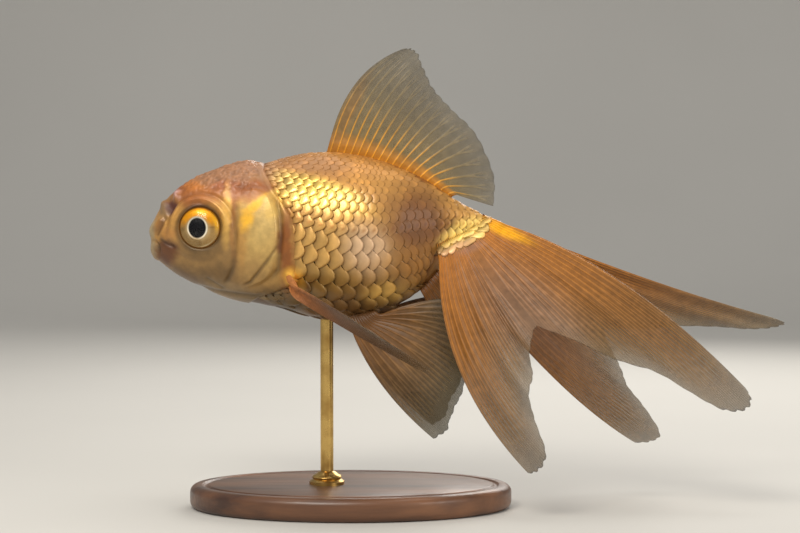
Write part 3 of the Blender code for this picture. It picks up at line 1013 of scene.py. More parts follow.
FOLDS = (
    # mouth slit, upper lip, lower lip
    Fold(
        ((-38.2, 51.7), (-37.6, 51.7), (-37.1, 51.5), (-36.6, 50.8), (-36.4, 49.4), (-36.0, 48.6)),
        0.36, -0.42, 0.5, 0.4,
    ),
    Fold(((-34.9, 55.7), (-36.2, 55.2), (-37.4, 54.2), (-38.5, 52.9), (-39.6, 52.0)), 0.75, 0.46, -0.1),
    Fold(((-40.0, 51.6), (-38.8, 50.9), (-38.1, 49.7), (-37.4, 48.4), (-36.6, 47.6)), 0.7, 0.36, -0.1),
    # crease behind the upper lip, and round the cheek bone
    Fold(((-35.0, 56.4), (-35.7, 54.6), (-36.4, 53.2), (-36.9, 52.1)), 0.34, -0.3, 0.4),
    Fold(((-36.4, 52.1), (-34.6, 50.9), (-32.8, 50.2)), 0.36, -0.26, 0.4),
    # front edge of the gill cover, its lower split, and the skin folds under the throat
    Fold(((-21.6, 60.6), (-21.5, 56.0), (-21.4, 52.0)), 0.8, -0.14, 0.2, 0.4),
    Fold(((-21.4, 55.0), (-21.5, 50.0), (-22.0, 46.5), (-22.8, 44.6), (-24.2, 42.8)), 0.5, -0.34, 0.4),
    Fold(((-13.4, 50.8), (-15.2, 48.3), (-17.0, 46.0), (-18.8, 43.8), (-20.6, 43.0)), 0.32, -0.3, 0.5),
    Fold(((-30.5, 43.2), (-26.0, 42.0), (-22.0, 41.4), (-18.0, 41.0), (-15.4, 41.6)), 0.4, -0.3, 0.35),
    Fold(((-27.6, 44.8), (-25.6, 43.4), (-23.6, 42.2)), 0.35, -0.2, 0.25),
    # back edge of the gill cover
    Fold(
        (
            (-14.9, 61.2), (-13.6, 59.2), (-13.0, 56.4), (-12.8, 52.8),
            (-13.1, 49.6), (-13.5, 46.2), (-15.4, 43.2),
        ),
        0.5, -0.42, 0.5,
    ),
    # soft crease over the gill cover, and the nape
    Fold(((-22.6, 60.9), (-20.8, 61.8), (-18.4, 62.4), (-16.4, 61.6)), 0.55, -0.14, 0.2, 0.35),
    Fold(((-17.8, 66.4), (-16.8, 64.0), (-15.6, 62.0), (-14.4, 60.2)), 0.5, -0.16, 0.2, 0.35),
)

PADS = (
    # cheek bone, nostril and its two flaps
    Pad(-34.5, 52.9, 1.7, 1.3, 0.42, 0.3),
    Pad(-34.4, 58.1, 1.0, 1.4, -0.75, 0.0, 0.5, 1.2),
    Pad(-32.9, 60.2, 0.45, 0.95, 0.85, -0.3, -0.1, 1.2),
    Pad(-35.5, 58.2, 0.75, 1.5, 0.65, 0.35, -0.15, 1.2),
    # shoulder hollow, cheek and the pectoral fin's root
    Pad(-12.0, 50.5, 1.1, 7.0, -0.12),
    Pad(-26.5, 47.4, 4.5, 2.8, 0.25, 0.2),
    Pad(-11.4, 43.6, 1.5, 1.4, 0.5, -0.7),
    Pad(-11.8, 45.4, 0.4, 0.4, 0.34),
    Pad(-10.9, 45.0, 0.42, 0.4, 0.36),
    Pad(-11.3, 44.2, 0.4, 0.42, 0.34),
    Pad(-10.3, 44.1, 0.42, 0.38, 0.36),
)


@dataclass(frozen=True)
class EyeSeat:
    """Where an eye sits, in the left side's frame, and how its rim leans to the front."""

    x: float = -28.3
    z: float = 54.1
    rim_y: float = 7.75
    slope: float = 0.16
    radius: float = 3.8
    # the socket's wall: reach from the eye's middle and height above the rim's plane, and the reaches
    # between which it passes into the skin
    wall: Spots = ((0.0, -1.8), (3.5, -1.8), (3.85, -0.45), (4.05, -0.02), (4.5, 0.12))
    wall_end: Spot = (4.05, 5.0)

    def rim(self, x: Array) -> Array:
        """Distance of the rim's plane from the middle of the fish."""
        return self.rim_y + self.slope * (x - self.x)

    def spot(self, places: Array) -> tuple[Array, Array, Array]:
        """How far places lie behind, above and out from the middle of the eye."""
        dx, dz = places[..., 0] - self.x, places[..., 2] - self.z
        return dx, dz, np.hypot(dx, dz)


EYE_SEAT = EyeSeat()


@dataclass
class Skin:
    """The one skin over head, body and tail stalk: folds, sockets, colour marks, painted light and shade.
    """

    form: BodyForm
    head_rings: int = 170
    trunk_rings: int = 84
    snout_rings: int = 6
    around: int = 336
    head_end: float = 9.0
    coat_depth: float = 0.34
    # gill cover: where it is looked for, how it rises from its front, and its height
    gill_span: Spot = (-24.5, -12.0)
    gill_rise: Spot = (-21.6, -17.0)
    gill_height: float = 0.4
    # warts on the crown: where they start and end along it and upwards, their height, and how much
    # they lighten and darken it
    wart_front: Spot = (-35.0, -31.5)
    wart_rear: Spot = (-18.5, -16.5)
    wart_low: Spot = (59.5, 62.5)
    wart_height: float = 0.24
    wart_shade: float = 0.34
    dimples: float = 0.03
    # how the skin under and between the scales is darkened with painted shade, and dulled
    between_scales_shade_tint: Colour = (0.5, 0.36, 0.24)
    between_scales_shade_share: float = 0.85
    covered_dulling: float = 0.6
    shade_limits: Spot = (-0.3, 0.85)

    def grid(self) -> Pair:
        """Space out the skin's rings.

        Returns:
            Station numbers and angles.
        """
        head = np.linspace(0.0, self.head_end, self.head_rings, endpoint=False)
        trunk = np.linspace(self.head_end, self.form.last, self.trunk_rings)
        turns = np.linspace(-math.pi / 2, 1.5 * math.pi, self.around + 1)
        return np.concatenate([head, trunk])[:, None], turns[None, :]

    def around_points(self, t: Array, turns: Array) -> Pair:
        """Points and normals all round, with the right side mirrored from the left.

        Args:
            t: Station numbers.
            turns: Angles from the belly up the left side and down the right.

        Returns:
            Places and outward directions.
        """
        right = turns > math.pi / 2
        left_turns = np.where(right, math.pi - turns, turns)
        points, normals = self.form.points(t, left_turns), self.form.normals(t, left_turns)
        flip = np.where(np.broadcast_to(right, points.shape[:-1]), -1.0, 1.0)
        points[..., 1] *= flip
        normals[..., 1] *= flip
        return points, normals

    def relief(self, places: Array) -> Pair:
        """Height of folds and bumps, and the shade in them.

        Args:
            places: Points on the plain form.

        Returns:
            Heights in millimetres, and shades from 0 to 1.
        """
        spots = places[..., [0, 2]]
        height, shade = np.zeros(spots.shape[:-1]), np.zeros(spots.shape[:-1])
        for fold in FOLDS:
            margin = 3 * fold.width
            low, high = np.min(fold.path, axis=0) - margin, np.max(fold.path, axis=0) + margin
            near = ((spots > low) & (spots < high)).all(axis=-1)
            distance, run = path_reach(spots[near], fold.path)
            share = bell(distance, fold.width) * ease(-0.02, fold.fade, run)
            share *= ease(-0.02, fold.fade, 1 - run)
            height[near] += fold.height * share
            shade[near] += fold.shade * share
        for pad in PADS:
            share = bell(pad.reach(spots, pad.lean), 1.0)
            if pad.clear_of_middle:
                share = share * ease(0.4, pad.clear_of_middle, np.abs(places[..., 1]))
            height += pad.height * share
            shade += pad.shade * share
        near = (spots[..., 0] > self.gill_span[0]) & (spots[..., 0] < self.gill_span[1])
        raised = self.gill_height * ease(*self.gill_rise, spots[near][..., 0])
        height[near] += raised * ease(-0.2, 0.8, depth_inside(spots[near], rounded(OPERCLE)))
        return height, shade

    def lids(self, places: Array) -> Pair:
        """Raise the fleshy ring round the eye, and paint the shade along and around it.

        Args:
            places: Points on the plain form.

        Returns:
            Heights and shades.
        """
        dx, dz, reach = EYE_SEAT.spot(places)
        upper = ease(-0.35, 0.45, dz / (reach + 1e-6))
        lower = 1 - upper
        # the ring itself, high over the eye and low under it, and the crease outside it
        height = (0.14 + 0.66 * upper) * bell(reach - 5.3, 0.72)
        height -= 0.3 * upper * bell(reach - 6.5, 0.45)
        height -= 0.14 * lower * bell(reach - 6.6, 0.6)
        # painted shadow along the eye under the lid and in the upper crease, and a brown ring of painted
        # shade behind and under the eye
        behind = ease(-0.3, 0.7, (dx - dz) / (reach + 1e-6)) * lower
        shade = (0.5 + 0.25 * upper) * bell(reach - 4.15, 0.34 + 0.14 * upper)
        shade += 0.2 * upper * bell(reach - 6.5, 0.4)
        shade += 0.26 * behind * bell(reach - 5.4, 0.7) + 0.28 * lower * bell(reach - 4.65, 0.45)
        return height, shade

    def seat_eyes(self, places: Array) -> Array:
        """Sink the skin under each eye and bring it up to the eye's rim.

        Args:
            places: Points on the skin.

        Returns:
            The points in their new places.
        """
        reach = EYE_SEAT.spot(places)[2]
        wall = EYE_SEAT.rim(places[..., 0]) + np.interp(reach, *zip(*EYE_SEAT.wall))
        share = 1 - ease(*EYE_SEAT.wall_end, reach)
        seated = places.copy()
        width = np.abs(places[..., 1])
        seated[..., 1] = np.sign(places[..., 1]) * (width * (1 - share) + wall * share)
        return seated

    def cap_row(self, ring: Array, share: float) -> Array:
        """A smaller copy of an end ring, about its middle."""
        centre = ring.mean(axis=0)
        return centre + (ring - centre) * share

    def capped(self, values: Array) -> Array:
        """Values of the rings, repeated over the rows that close both ends."""
        return np.concatenate([np.repeat(values[:1], self.snout_rings, 0), values, values[-1:]])

    def build(self) -> Piece:
        """Make the skin's mesh, with its colours and painted light and shade stored on it.

        Returns:
            The skin.
        """
        t, turns = self.grid()
        points, normals = self.around_points(t, turns)
        height, shade = self.relief(points)
        lid_height, lid_shade = self.lids(points)
        crown = ease(*self.wart_low, points[..., 2]) * (1 - ease(*self.wart_rear, points[..., 0]))
        crown *= ease(*self.wart_front, points[..., 0])
        wart = 0.45 * grain(points, 0.7, 3) + 0.55 * grain(points, 0.38, 4)
        height += lid_height + self.wart_height * crown * wart + self.dimples * grain(points, 1.6, 8)
        covered = ease(-0.1, 0.9, SCALED.depth(points))
        height -= self.coat_depth * covered
        shaped = self.seat_eyes(points + normals * height[..., None])
        tint, shine = markings_and_painted_light(points)
        shade = np.clip(shade + lid_shade, *self.shade_limits)
        tint = tint * (1 - shade)[..., None] * (1 + self.wart_shade * crown * wart)[..., None]
        # painted shade on the skin under and between the scales
        tint = mix(tint, tint * np.array(self.between_scales_shade_tint), covered * self.between_scales_shade_share)
        shine = shine * (1 - covered * self.covered_dulling)
        shares = np.linspace(0, 1, self.snout_rings + 1)[:-1]
        rows = np.array([self.cap_row(shaped[0], share) for share in shares])
        skin = grid_sheet("skin", np.concatenate([rows, shaped, self.cap_row(shaped[-1], 0.0)[None]]))
        ends = (np.zeros((self.snout_rings, 1)), t / self.form.last, np.ones((1, 1)))
        along = np.concatenate(ends) + turns * 0
        way = (turns + math.pi / 2) / (2 * math.pi) + along * 0
        store(skin, self.capped(tint), self.capped(shine), np.stack([along, way], axis=-1))
        weld(skin)
        return skin


# ---- scales


@dataclass(frozen=True)
class ScaleField:
    """One even field of scales: its spacing along the body and round it, and where it lies."""

    start: float
    pitch: Spots
    gaps_up: tuple[float, ...]
    gaps_down: tuple[float, ...]
    middle: float
    narrowing_up: Spots
    narrowing_down: Spots
    lift: float
    breast: bool

    def covers(self, places: Array) -> Array:
        """Whether a scale of this field grows at each place."""
        on_breast = (places[..., 2] < BREAST_TOP) & (places[..., 0] < BREAST_REAR)
        return (SCALED.depth(places) > -0.3) & (on_breast == self.breast)

    def narrowing(self, x: Array, level: float) -> Array:
        """How much the rows close up, above or below the middle."""
        return np.interp(x, *zip(*(self.narrowing_up if level >= 0 else self.narrowing_down)))


BREAST_TOP, BREAST_REAR = 43.4, -11.2
BODY_SCALES = ScaleField(
    start=-20.5,
    pitch=((-21.0, 2.05), (-14.0, 2.15), (-3.0, 2.1), (8.0, 1.8), (19.0, 1.5), (27.0, 1.35)),
    gaps_up=(2.35, 2.15, 1.95, 1.75, 1.6, 1.45, 1.35, 1.3, 1.25, 1.2, 1.15) + (1.1,) * 5,
    gaps_down=(2.9, 3.1, 3.2, 3.2, 3.1, 2.9, 2.6, 2.4),
    middle=0.0,
    narrowing_up=(
        (-21.0, 0.76), (-14.0, 0.86), (-9.0, 0.95), (-3.0, 1.0), (8.0, 0.93), (19.0, 0.74), (27.0, 0.56),
    ),
    narrowing_down=(
        (-21.0, 1.16), (-14.0, 1.1), (-9.0, 1.04), (-3.0, 1.0), (8.0, 0.92), (19.0, 0.72), (27.0, 0.56),
    ),
    lift=1.0,
    breast=False,
)
BREAST_SCALES = ScaleField(
    start=-21.5,
    pitch=((-21.0, 1.2), (-12.0, 1.45), (-3.0, 1.5)),
    gaps_up=(1.15,) * 7,
    gaps_down=(1.15,) * 9,
    middle=-9.5,
    narrowing_up=((-21.0, 0.9), (-8.0, 1.0)),
    narrowing_down=((-21.0, 0.9), (-8.0, 1.0)),
    lift=0.5,
    breast=True,
)


@dataclass
class Plate:
    """The shape of one scale: a domed plate with its rim turned down and its underside closed."""

    # shares along each plate and their shades: painted shade where it meets the edge of the plate before
    # it, and a painted highlight near its own free edge
    along: tuple[float, ...] = (0.0, 0.42, 0.56, 0.74, 0.9, 1.0)
    shades: tuple[float, ...] = (0.5, 0.6, 0.87, 1.07, 1.15, 0.97)
    across_steps: int = 6
    crest: float = 0.74
    rounding: float = 0.36
    edge_shade: float = 0.22
    thickness: float = 0.4
    map_size: float = 0.003
    faces: list[tuple[int, ...]] = field(init=False)
    # for each point: how far along and across it lies, the plate's half width there, its dome, its
    # depth under the top, its painted shade and highlight, and its place on its patch of the map
    u: Array = field(init=False)
    v: Array = field(init=False)
    half: Array = field(init=False)
    dome: Array = field(init=False)
    drop: Array = field(init=False)
    shade: Array = field(init=False)
    patch: Array = field(init=False)

    def __post_init__(self) -> None:
        """Model the plate flat, and measure its points."""
        deselect()
        bpy.ops.mesh.primitive_grid_add(
            x_subdivisions=len(self.along) - 1, y_subdivisions=self.across_steps, size=1.0
        )
        model = bpy.context.object
        bpy.ops.object.mode_set(mode="EDIT")
        bpy.ops.mesh.select_all(action="SELECT")
        bpy.ops.mesh.region_to_loop()
        bpy.ops.mesh.extrude_edges_move(TRANSFORM_OT_translate={"value": (0, 0, -1)})
        bpy.ops.mesh.edge_face_add()
        bpy.ops.mesh.select_all(action="SELECT")
        bpy.ops.mesh.normals_make_consistent(inside=False)
        bpy.ops.object.mode_set(mode="OBJECT")
        places = np.array([v.co[:] for v in model.data.vertices])
        # the operators leave the faces in any order, so they are sorted to be the same each run
        self.faces = sorted(tuple(p.vertices) for p in model.data.polygons)
        bpy.data.objects.remove(model)
        u = np.interp(places[:, 0] + 0.5, np.linspace(0, 1, len(self.along)), self.along)
        v, down = places[:, 1] * 2, -places[:, 2]
        self.u, self.v = u, v
        swell = 0.84 + 0.16 * np.sin(math.pi * np.minimum(u, 0.9) / 0.9)
        self.half = 0.5 * swell * (1 - 0.22 * ease(0.6, 1.0, u))
        self.dome = bell(u - self.crest, 0.3) * (1 - v**2)
        self.drop = down * self.thickness * (0.5 + 0.5 * u)
        self.shade = np.interp(u, self.along, self.shades) * (1 - self.edge_shade * np.abs(v) ** 3)
        step = np.stack([u - 0.5 + down * 0.02, v * 0.5 * (1 - 0.04 * down)], axis=-1)
        self.patch = self.map_size * step

    def span(self, length: Array | float) -> Array:
        """Distance of each point from the root, in plates of these lengths with a rounded end."""
        return length * self.u * (1 - self.rounding * self.u * self.v**2)


@dataclass
class ScaleCoat:
    """The scales of one side, each a thin domed plate that overlaps the one behind it."""

    form: BodyForm
    side: Side
    tail: "Fin"
    plate: Plate = field(default_factory=Plate)
    overlap: float = 1.8
    spread: float = 1.85
    # share of a scale's length where its middle is taken to lie, and height of its root
    middle: float = 0.72
    bed: float = -0.45
    front_dip: float = 0.8
    # rise of a bold plate towards its rear, dip of its rim and height of its dome
    rise: float = 0.52
    rim_dip: float = 0.1
    dome: float = 0.26
    # height of a plate that is sunk in the skin: at its root, and what its rear adds
    sunk: Spot = (0.16, 0.08)
    # back line, above which plates are sunk: its height, its fall for each step in x, its softness
    back_line: Place = (60.8, 0.23, 3.0)
    # sunk patch before the tail: its front, its lower edge, its rear
    stalk_front: Spot = (3.0, 8.0)
    stalk_low: Spot = (46.0, 50.0)
    stalk_rear: Spot = (16.0, 18.0)
    sunk_share: float = 0.9
    # foremost root, room that a plate needs to the middle line, and room beside the dorsal fin
    foremost: float = -22.0
    least_room: float = 0.4
    fin_room: float = 1.0
    room_share: float = 1.9
    # painted glint on lucky sunk plates, and the heights over which it comes in
    painted_glint: float = 0.4
    painted_glint_low: Spot = (56.0, 61.0)
    pore_tint: Colour = (0.7, 0.56, 0.42)
    luck_limit: float = 1.6
    luck_shade: float = 0.1
    rise_step: float = 0.3
    tail_rows: int = 3
    tail_columns: int = 8
    tail_pitch: float = 1.4
    tail_luck: float = 0.26
    tail_gaps: float = 0.35
    # height of the tail's plates at their root, their rise and their dome
    tail_bed: float = -0.04
    tail_rise: float = 0.22
    tail_dome: float = 0.2
    # share of the way along the tail fin's root, and how far out its plates go there
    tail_reach: Spots = ((0.0, 1.2), (0.25, 3.4), (0.55, 4.0), (0.72, 2.7), (0.86, 1.5), (1.0, 0.8))

    def run(self, x: Array, girth: Array, later_girth: Array, step: float) -> Pair:
        """Measure how a row of scales runs over the body.

        Args:
            x: Places along the row.
            girth: Way round from the lateral line at those places.
            later_girth: Way round a step further back.
            step: That step in x.

        Returns:
            Length for each step in x, and how far the row leans from square to the way up.
        """
        here = self.form.flank_point(x, girth)
        ahead = self.form.flank_point(x + step, later_girth)
        above = self.form.flank_point(x, girth + self.rise_step)
        lean = (unit(ahead - here) * unit(above - here)).sum(axis=-1)
        return np.linalg.norm(ahead - here, axis=-1) / step, lean

    def bearings(self, scales: ScaleField, x: Array, level: float) -> tuple[Array, ...]:
        """Measure a row of scales of a field.

        Args:
            scales: The field.
            x: Places along the row.
            level: The row's distance from the field's middle, before the rows close up to the tail.

        Returns:
            At each place: way round from the lateral line, narrowing, length for each step in x and
            how far the row leans from square to the way up.
        """
        step = 0.1
        narrow = scales.narrowing(x, level)
        girth = scales.middle + level * narrow
        later_girth = scales.middle + level * scales.narrowing(x + step, level)
        return girth, narrow, *self.run(x, girth, later_girth, step)

    def roots(self, scales: ScaleField, rng: np.random.Generator) -> tuple[Array, ...]:
        """Place the scales of a field, row by row, each row half a scale on from the one before.

        Args:
            scales: The field.
            rng: Source of small differences.

        Returns:
            For each scale: place along the fish, way round, length, width, row and luck.
        """
        x = np.linspace(scales.start, self.form.flank_x[-1], 1200)
        line = self.form.flank_point(x, np.full_like(x, scales.middle))
        step = np.linalg.norm(np.diff(line, axis=0), axis=1)
        column = np.concatenate([[0.0], np.cumsum(step / np.interp(x[1:], *zip(*scales.pitch)))])
        first = np.interp(np.arange(0.0, column[-1], 1.0), column, x)
        found = []
        for sign, gaps in ((1, (0.0, *scales.gaps_up)), (-1, (0.0, *scales.gaps_down))):
            row_x, level = first, 0.0
            for number, gap in enumerate(gaps):
                _, narrow, speed, lean = self.bearings(scales, row_x, level)
                row_x = row_x - sign * lean * gap * narrow / speed
                level += sign * gap
                if number == 0 and sign < 0:
                    continue
                shown = (row_x[:-1] + row_x[1:]) / 2 if number % 2 else row_x
                girth, narrow, speed, _ = self.bearings(scales, shown, level)
                pitch = np.abs(np.gradient(shown)) * speed
                width = (gap or scales.gaps_up[0]) * narrow
                row = np.full_like(shown, sign * number)
                found.append(np.stack([shown, girth, pitch, width, row]))
        x, girth, pitch, width, row = np.concatenate(found, axis=1)
        jitter = rng.normal(0.0, 1.0, (len(x), 4)).T
        length = pitch * self.overlap * (1 + 0.035 * jitter[1])
        width = width * self.spread * (1 + 0.03 * jitter[2])
        return x, girth + 0.03 * jitter[0], length, width, row, jitter[3]

    def lay(self, scales: ScaleField, rng: np.random.Generator) -> tuple[Array, ...]:
        """Lay a field's plates on the body.

        Args:
            scales: The field.
            rng: Source of small differences.

        Returns:
            Places, tints, shines and map places for each point of each plate.
        """
        u = self.plate.u
        roots = self.roots(scales, rng)
        x0, g0, length = roots[:3]
        middle = x0 + self.middle * length
        centre = self.form.flank_point(middle, g0)
        room = self.room(self.form.station_at(middle), g0)
        by_fin = (centre[:, 2] > 58) & (centre[:, 0] > -6.0)
        clear = np.where(by_fin, self.fin_room, self.least_room)
        inside = (x0 > self.foremost) & (middle < self.form.flank_x[-1])
        keep = scales.covers(centre) & (room > clear) & inside
        x0, g0, length, width, row, luck, room = (values[keep, None] for values in (*roots, room))
        bold = self.boldness(centre[keep])[:, None] * scales.lift
        speed, lean = self.run(x0, g0, g0, 1.0)
        across = np.minimum(width, room * self.room_share) * self.plate.half * self.plate.v
        t = self.form.station_at(x0 + (self.plate.span(length) - lean * across) / speed)
        turn = self.form.turn_at(t, g0 + across)
        surface, normals = self.form.points(t, turn), self.form.normals(t, turn)
        rise = self.rise * u**1.2 - self.rim_dip * ease(0.88, 1.0, u) + self.dome * self.plate.dome
        sunk = self.sunk[0] + self.sunk[1] * u
        height = self.bed + rise * bold + (1 - bold) * sunk - self.plate.drop
        height = height - self.front_dip * (1 - ease(-0.3, 0.7, SCALED.depth(surface)))
        tint, shine = self.colour(surface, bold, luck, (row == 0) & (not scales.breast))
        places = (surface + normals * height[..., None]) * np.array((1, self.side.value, 1))
        return places, tint, shine, self.map_place(x0, g0) + self.plate.patch

    def colour(self, surface: Array, bold: Array, luck: Array, on_line: Array) -> Pair:
        """Colour plates that lie on the body.

        Args:
            surface: Places on the body under the plates' points.
            bold: How far each plate stands out.
            luck: Each plate's luck, which makes it a little lighter or darker.
            on_line: Whether each plate is on the lateral line, where it has a pore.

        Returns:
            Tints and shines.
        """
        u, v = self.plate.u, self.plate.v
        tint, shine = markings_and_painted_light(surface)
        firm = np.minimum(bold, 1.0)
        # painted shade and highlight along each plate, weaker on sunk plates
        shade = 1 + (self.plate.shade - 1) * (0.05 + 0.95 * firm)
        chance = np.clip(luck, -self.luck_limit, self.luck_limit) * (0.4 + 0.6 * firm)
        tint = tint * shade[..., None] * (1 + self.luck_shade * chance)[..., None]
        # painted glint near the free edge of lucky sunk plates
        painted_glint = np.maximum(1 - bold, 0) * bell(u - 0.84, 0.14) * bell(v, 0.5) * np.clip(luck, 0, 1.2)
        tint = tint * (1 + self.painted_glint * painted_glint * ease(*self.painted_glint_low, surface[..., 2]))[..., None]
        pore = on_line & (np.abs(v) < 0.2) & (np.abs(u - self.plate.crest) < 0.1)
        return np.where(pore[..., None], tint * np.array(self.pore_tint), tint), shine

    def room(self, t: Array, girth: Array) -> Array:
        """Way round from each place to the nearer middle line, on the back or under the belly.

        Args:
            t: Station numbers.
            girth: Distances round from the lateral line.

        Returns:
            Distances.
        """
        steps = np.linspace(-self.form.girth_reach, self.form.girth_reach, self.form.girth_steps)
        turns = self.form.turn_at(t[:, None], steps[None, :])
        top = np.where(turns < math.pi / 2 - 1e-3, steps, -1e9).max(axis=1)
        low = np.where(turns > -math.pi / 2 + 1e-3, steps, 1e9).min(axis=1)
        return np.minimum(top - girth, girth - low)

    def map_place(self, x: Array, girth: Array) -> Array:
        """Find spots on this side of the body on the UV map.

        Args:
            x: Places along the fish.
            girth: Distances round from the lateral line.

        Returns:
            Places on the map.
        """
        t = self.form.station_at(x)
        way = (self.form.turn_at(t, girth) + math.pi / 2) / (2 * math.pi)
        way = way if self.side is Side.LEFT else 1 - way
        return np.stack([t / self.form.last, way], axis=-1)

    def lay_on_tail(self, rng: np.random.Generator) -> tuple[Array, ...]:
        """Lay a few rows of plates over the root of the tail fin.

        Args:
            rng: Source of small differences.

        Returns:
            Places, tints, shines and map places for each point of each plate.
        """
        u, v = self.plate.u, self.plate.v
        row, column = (a.ravel() for a in np.indices((self.tail_rows, self.tail_columns)))
        f0 = (column + 0.4 + 0.5 * (row % 2)) / self.tail_columns
        f0 = f0 + rng.normal(0.0, 0.012, len(f0))
        start = self.tail_pitch * (row + rng.normal(0.0, 0.12, len(row))) - 0.5
        keep = start + self.tail_pitch < np.interp(f0, *zip(*self.tail_reach))
        keep &= (row < 2) | (rng.random(len(row)) > self.tail_gaps)
        f0, start = f0[keep, None], start[keep, None]
        luck = np.clip(rng.normal(0.0, 1.0, len(f0)), -self.luck_limit, self.luck_limit)[:, None]
        near, far = (self.tail.middle(f0, f0 * 0 + r) for r in (0.02, 0.04))
        speed = np.linalg.norm(far - near, axis=-1) / 0.02
        f = np.clip(f0 + self.spread / self.tail_columns * self.plate.half * v, 0.004, 0.996)
        r = (start + self.plate.span(self.overlap * self.tail_pitch)) / speed
        surface, normals = self.tail.face(f, r, self.side)
        rise = self.tail_rise * u**1.2 + self.tail_dome * self.plate.dome
        height = self.tail_bed + rise - self.plate.drop
        tint, shine = markings_and_painted_light(surface * np.array((1, self.side.value, 1)))
        # painted shade and highlight along each plate
        tint = tint * (self.plate.shade * (1 + self.tail_luck * luck))[..., None]
        x, z = surface[:, :1, 0], surface[:, :1, 2]
        patch = self.map_place(x, z - self.form.line_height(x)) + self.plate.patch
        return surface + normals * height[..., None], tint, shine, patch

    def boldness(self, places: Array) -> Array:
        """How far scales stand out: less on the back and before the tail.

        Args:
            places: Middles of the scales.

        Returns:
            Shares, 1 where a scale stands out fully.
        """
        x, z = places[:, 0], places[:, 2]
        height, fall, softness = self.back_line
        bold = 1 - self.sunk_share * ease(0.0, softness, z - height + fall * x)
        stalk = self.sunk_share * ease(*self.stalk_front, x) * ease(*self.stalk_low, z)
        return bold * (1 - stalk * (1 - ease(*self.stalk_rear, x)))

    def build(self) -> Piece:
        """Make one side's coat as a single joined mesh.

        Returns:
            The coat.
        """
        rng = np.random.default_rng(11 if self.side is Side.LEFT else 23)
        fields = [self.lay(scales, rng) for scales in (BODY_SCALES, BREAST_SCALES)]
        layers = zip(*fields, self.lay_on_tail(rng))
        places, tint, shine, patch = (np.concatenate(parts) for parts in layers)
        count, points = places.shape[:2]
        faces = [tuple(i + k * points for i in face) for k in range(count) for face in self.plate.faces]
        name = f"scales_{self.side.name.lower()}"
        mesh = bpy.data.meshes.new(name)
        mesh.from_pydata((places.reshape(-1, 3) * MM).tolist(), [], faces)
        coat = add_object(name, mesh)
        store(coat, tint, shine, patch)
        weld(coat, 0)
        return coat


# ---- fins


@dataclass(frozen=True)
class Fan:
    """A fin's sheet: its rays run from roots through knees to tips, and it is pleated."""

    roots: tuple[Place, ...]
    knees: tuple[Place, ...]
    tips: tuple[Place, ...]
    pleat: float
    pleats: float = 3.0

    def mirrored(self) -> "Fan":
        """The same fin on the other side."""
        flip = [tuple((x, -y, z) for x, y, z in row) for row in (self.roots, self.knees, self.tips)]
        return Fan(*flip, -self.pleat, self.pleats)

    def points(self, f: Array, r: Array) -> Array:
        """Places on the sheet.

        Args:
            f: Shares from the first ray to the last.
            r: Shares from root to tip.

        Returns:
            Places in millimetres.
        """
        root, knee, tip = (
            smooth(np.array(row), f * (len(row) - 1)) for row in (self.roots, self.knees, self.tips)
        )
        r = r[..., None]
        place = root * (1 - r) ** 2 + knee * 2 * r * (1 - r) + tip * r**2
        place[..., 1] += self.pleat * r[..., 0] * np.sin(2 * math.pi * self.pleats * f)
        return place


def back_roots(form: BodyForm) -> tuple[Place, ...]:
    """Find the roots of the dorsal fin, along the ridge of the back.

    Args:
        form: The body.

    Returns:
        Places of the roots.
    """
    t = np.linspace(9.0, form.last, 400)
    ridge = form.points(t, np.full_like(t, math.pi / 2))
    spots = (-4.2, -0.2, 3.8, 7.8, 11.8, 15.8, 19.8)
    return tuple((x, 0.0, float(np.interp(x, ridge[:, 0], ridge[:, 2])) + 0.5) for x in spots)


DORSAL_KNEES = ((-1.2, -0.6, 84.3), (8.4, -0.9, 78.0), (17.3, 0.9, 70.5), (23.4, 0.3, 59.2))
DORSAL_TIPS = (
    (10.6, -1.6, 88.3), (12.6, -1.3, 88.0), (14.1, -0.8, 84.8), (16.3, 0.1, 80.3),
    (20.0, 0.9, 76.4), (24.4, 1.2, 71.6), (27.7, 0.5, 64.2), (27.6, 0.0, 58.0),
)
PECTORAL_LEFT = Fan(
    roots=((-12.2, -10.9, 44.4), (-11.3, -10.7, 43.0), (-11.6, -10.3, 41.8)),
    knees=((-3.0, -21.0, 40.2), (-1.6, -17.0, 37.6), (-1.2, -12.4, 35.2)),
    tips=(
        (3.6, -26.6, 36.2), (8.2, -27.0, 33.4), (12.4, -24.6, 30.6), (15.0, -19.6, 28.2),
        (14.8, -15.6, 27.0),
    ),
    pleat=0.0,
)
PELVIC_LEFT = Fan(
    roots=((-0.3, -4.6, 36.0), (2.0, -4.6, 36.3), (4.6, -4.4, 36.9)),
    knees=((3.9, -8.4, 24.0), (10.0, -8.8, 29.0), (12.9, -7.4, 35.2), (11.6, -6.4, 40.6)),
    tips=(
        (16.1, -11.6, 14.3), (18.4, -11.0, 15.8), (19.6, -10.0, 19.1), (21.4, -8.6, 22.8),
        (22.6, -7.0, 27.6), (22.8, -6.2, 34.4), (20.6, -5.8, 40.9),
    ),
    pleat=0.4,
)
ANAL_LEFT = Fan(
    roots=((13.9, -1.9, 41.2), (15.6, -1.8, 43.2), (17.3, -1.6, 45.2)),
    knees=((15.6, -2.6, 36.8), (19.0, -2.6, 38.4), (21.6, -2.4, 41.6)),
    tips=(
        (20.6, -3.6, 31.6), (22.4, -3.8, 31.6), (24.6, -3.6, 34.2), (26.2, -3.2, 37.8),
        (26.0, -2.6, 41.2),
    ),
    pleat=0.0,
)
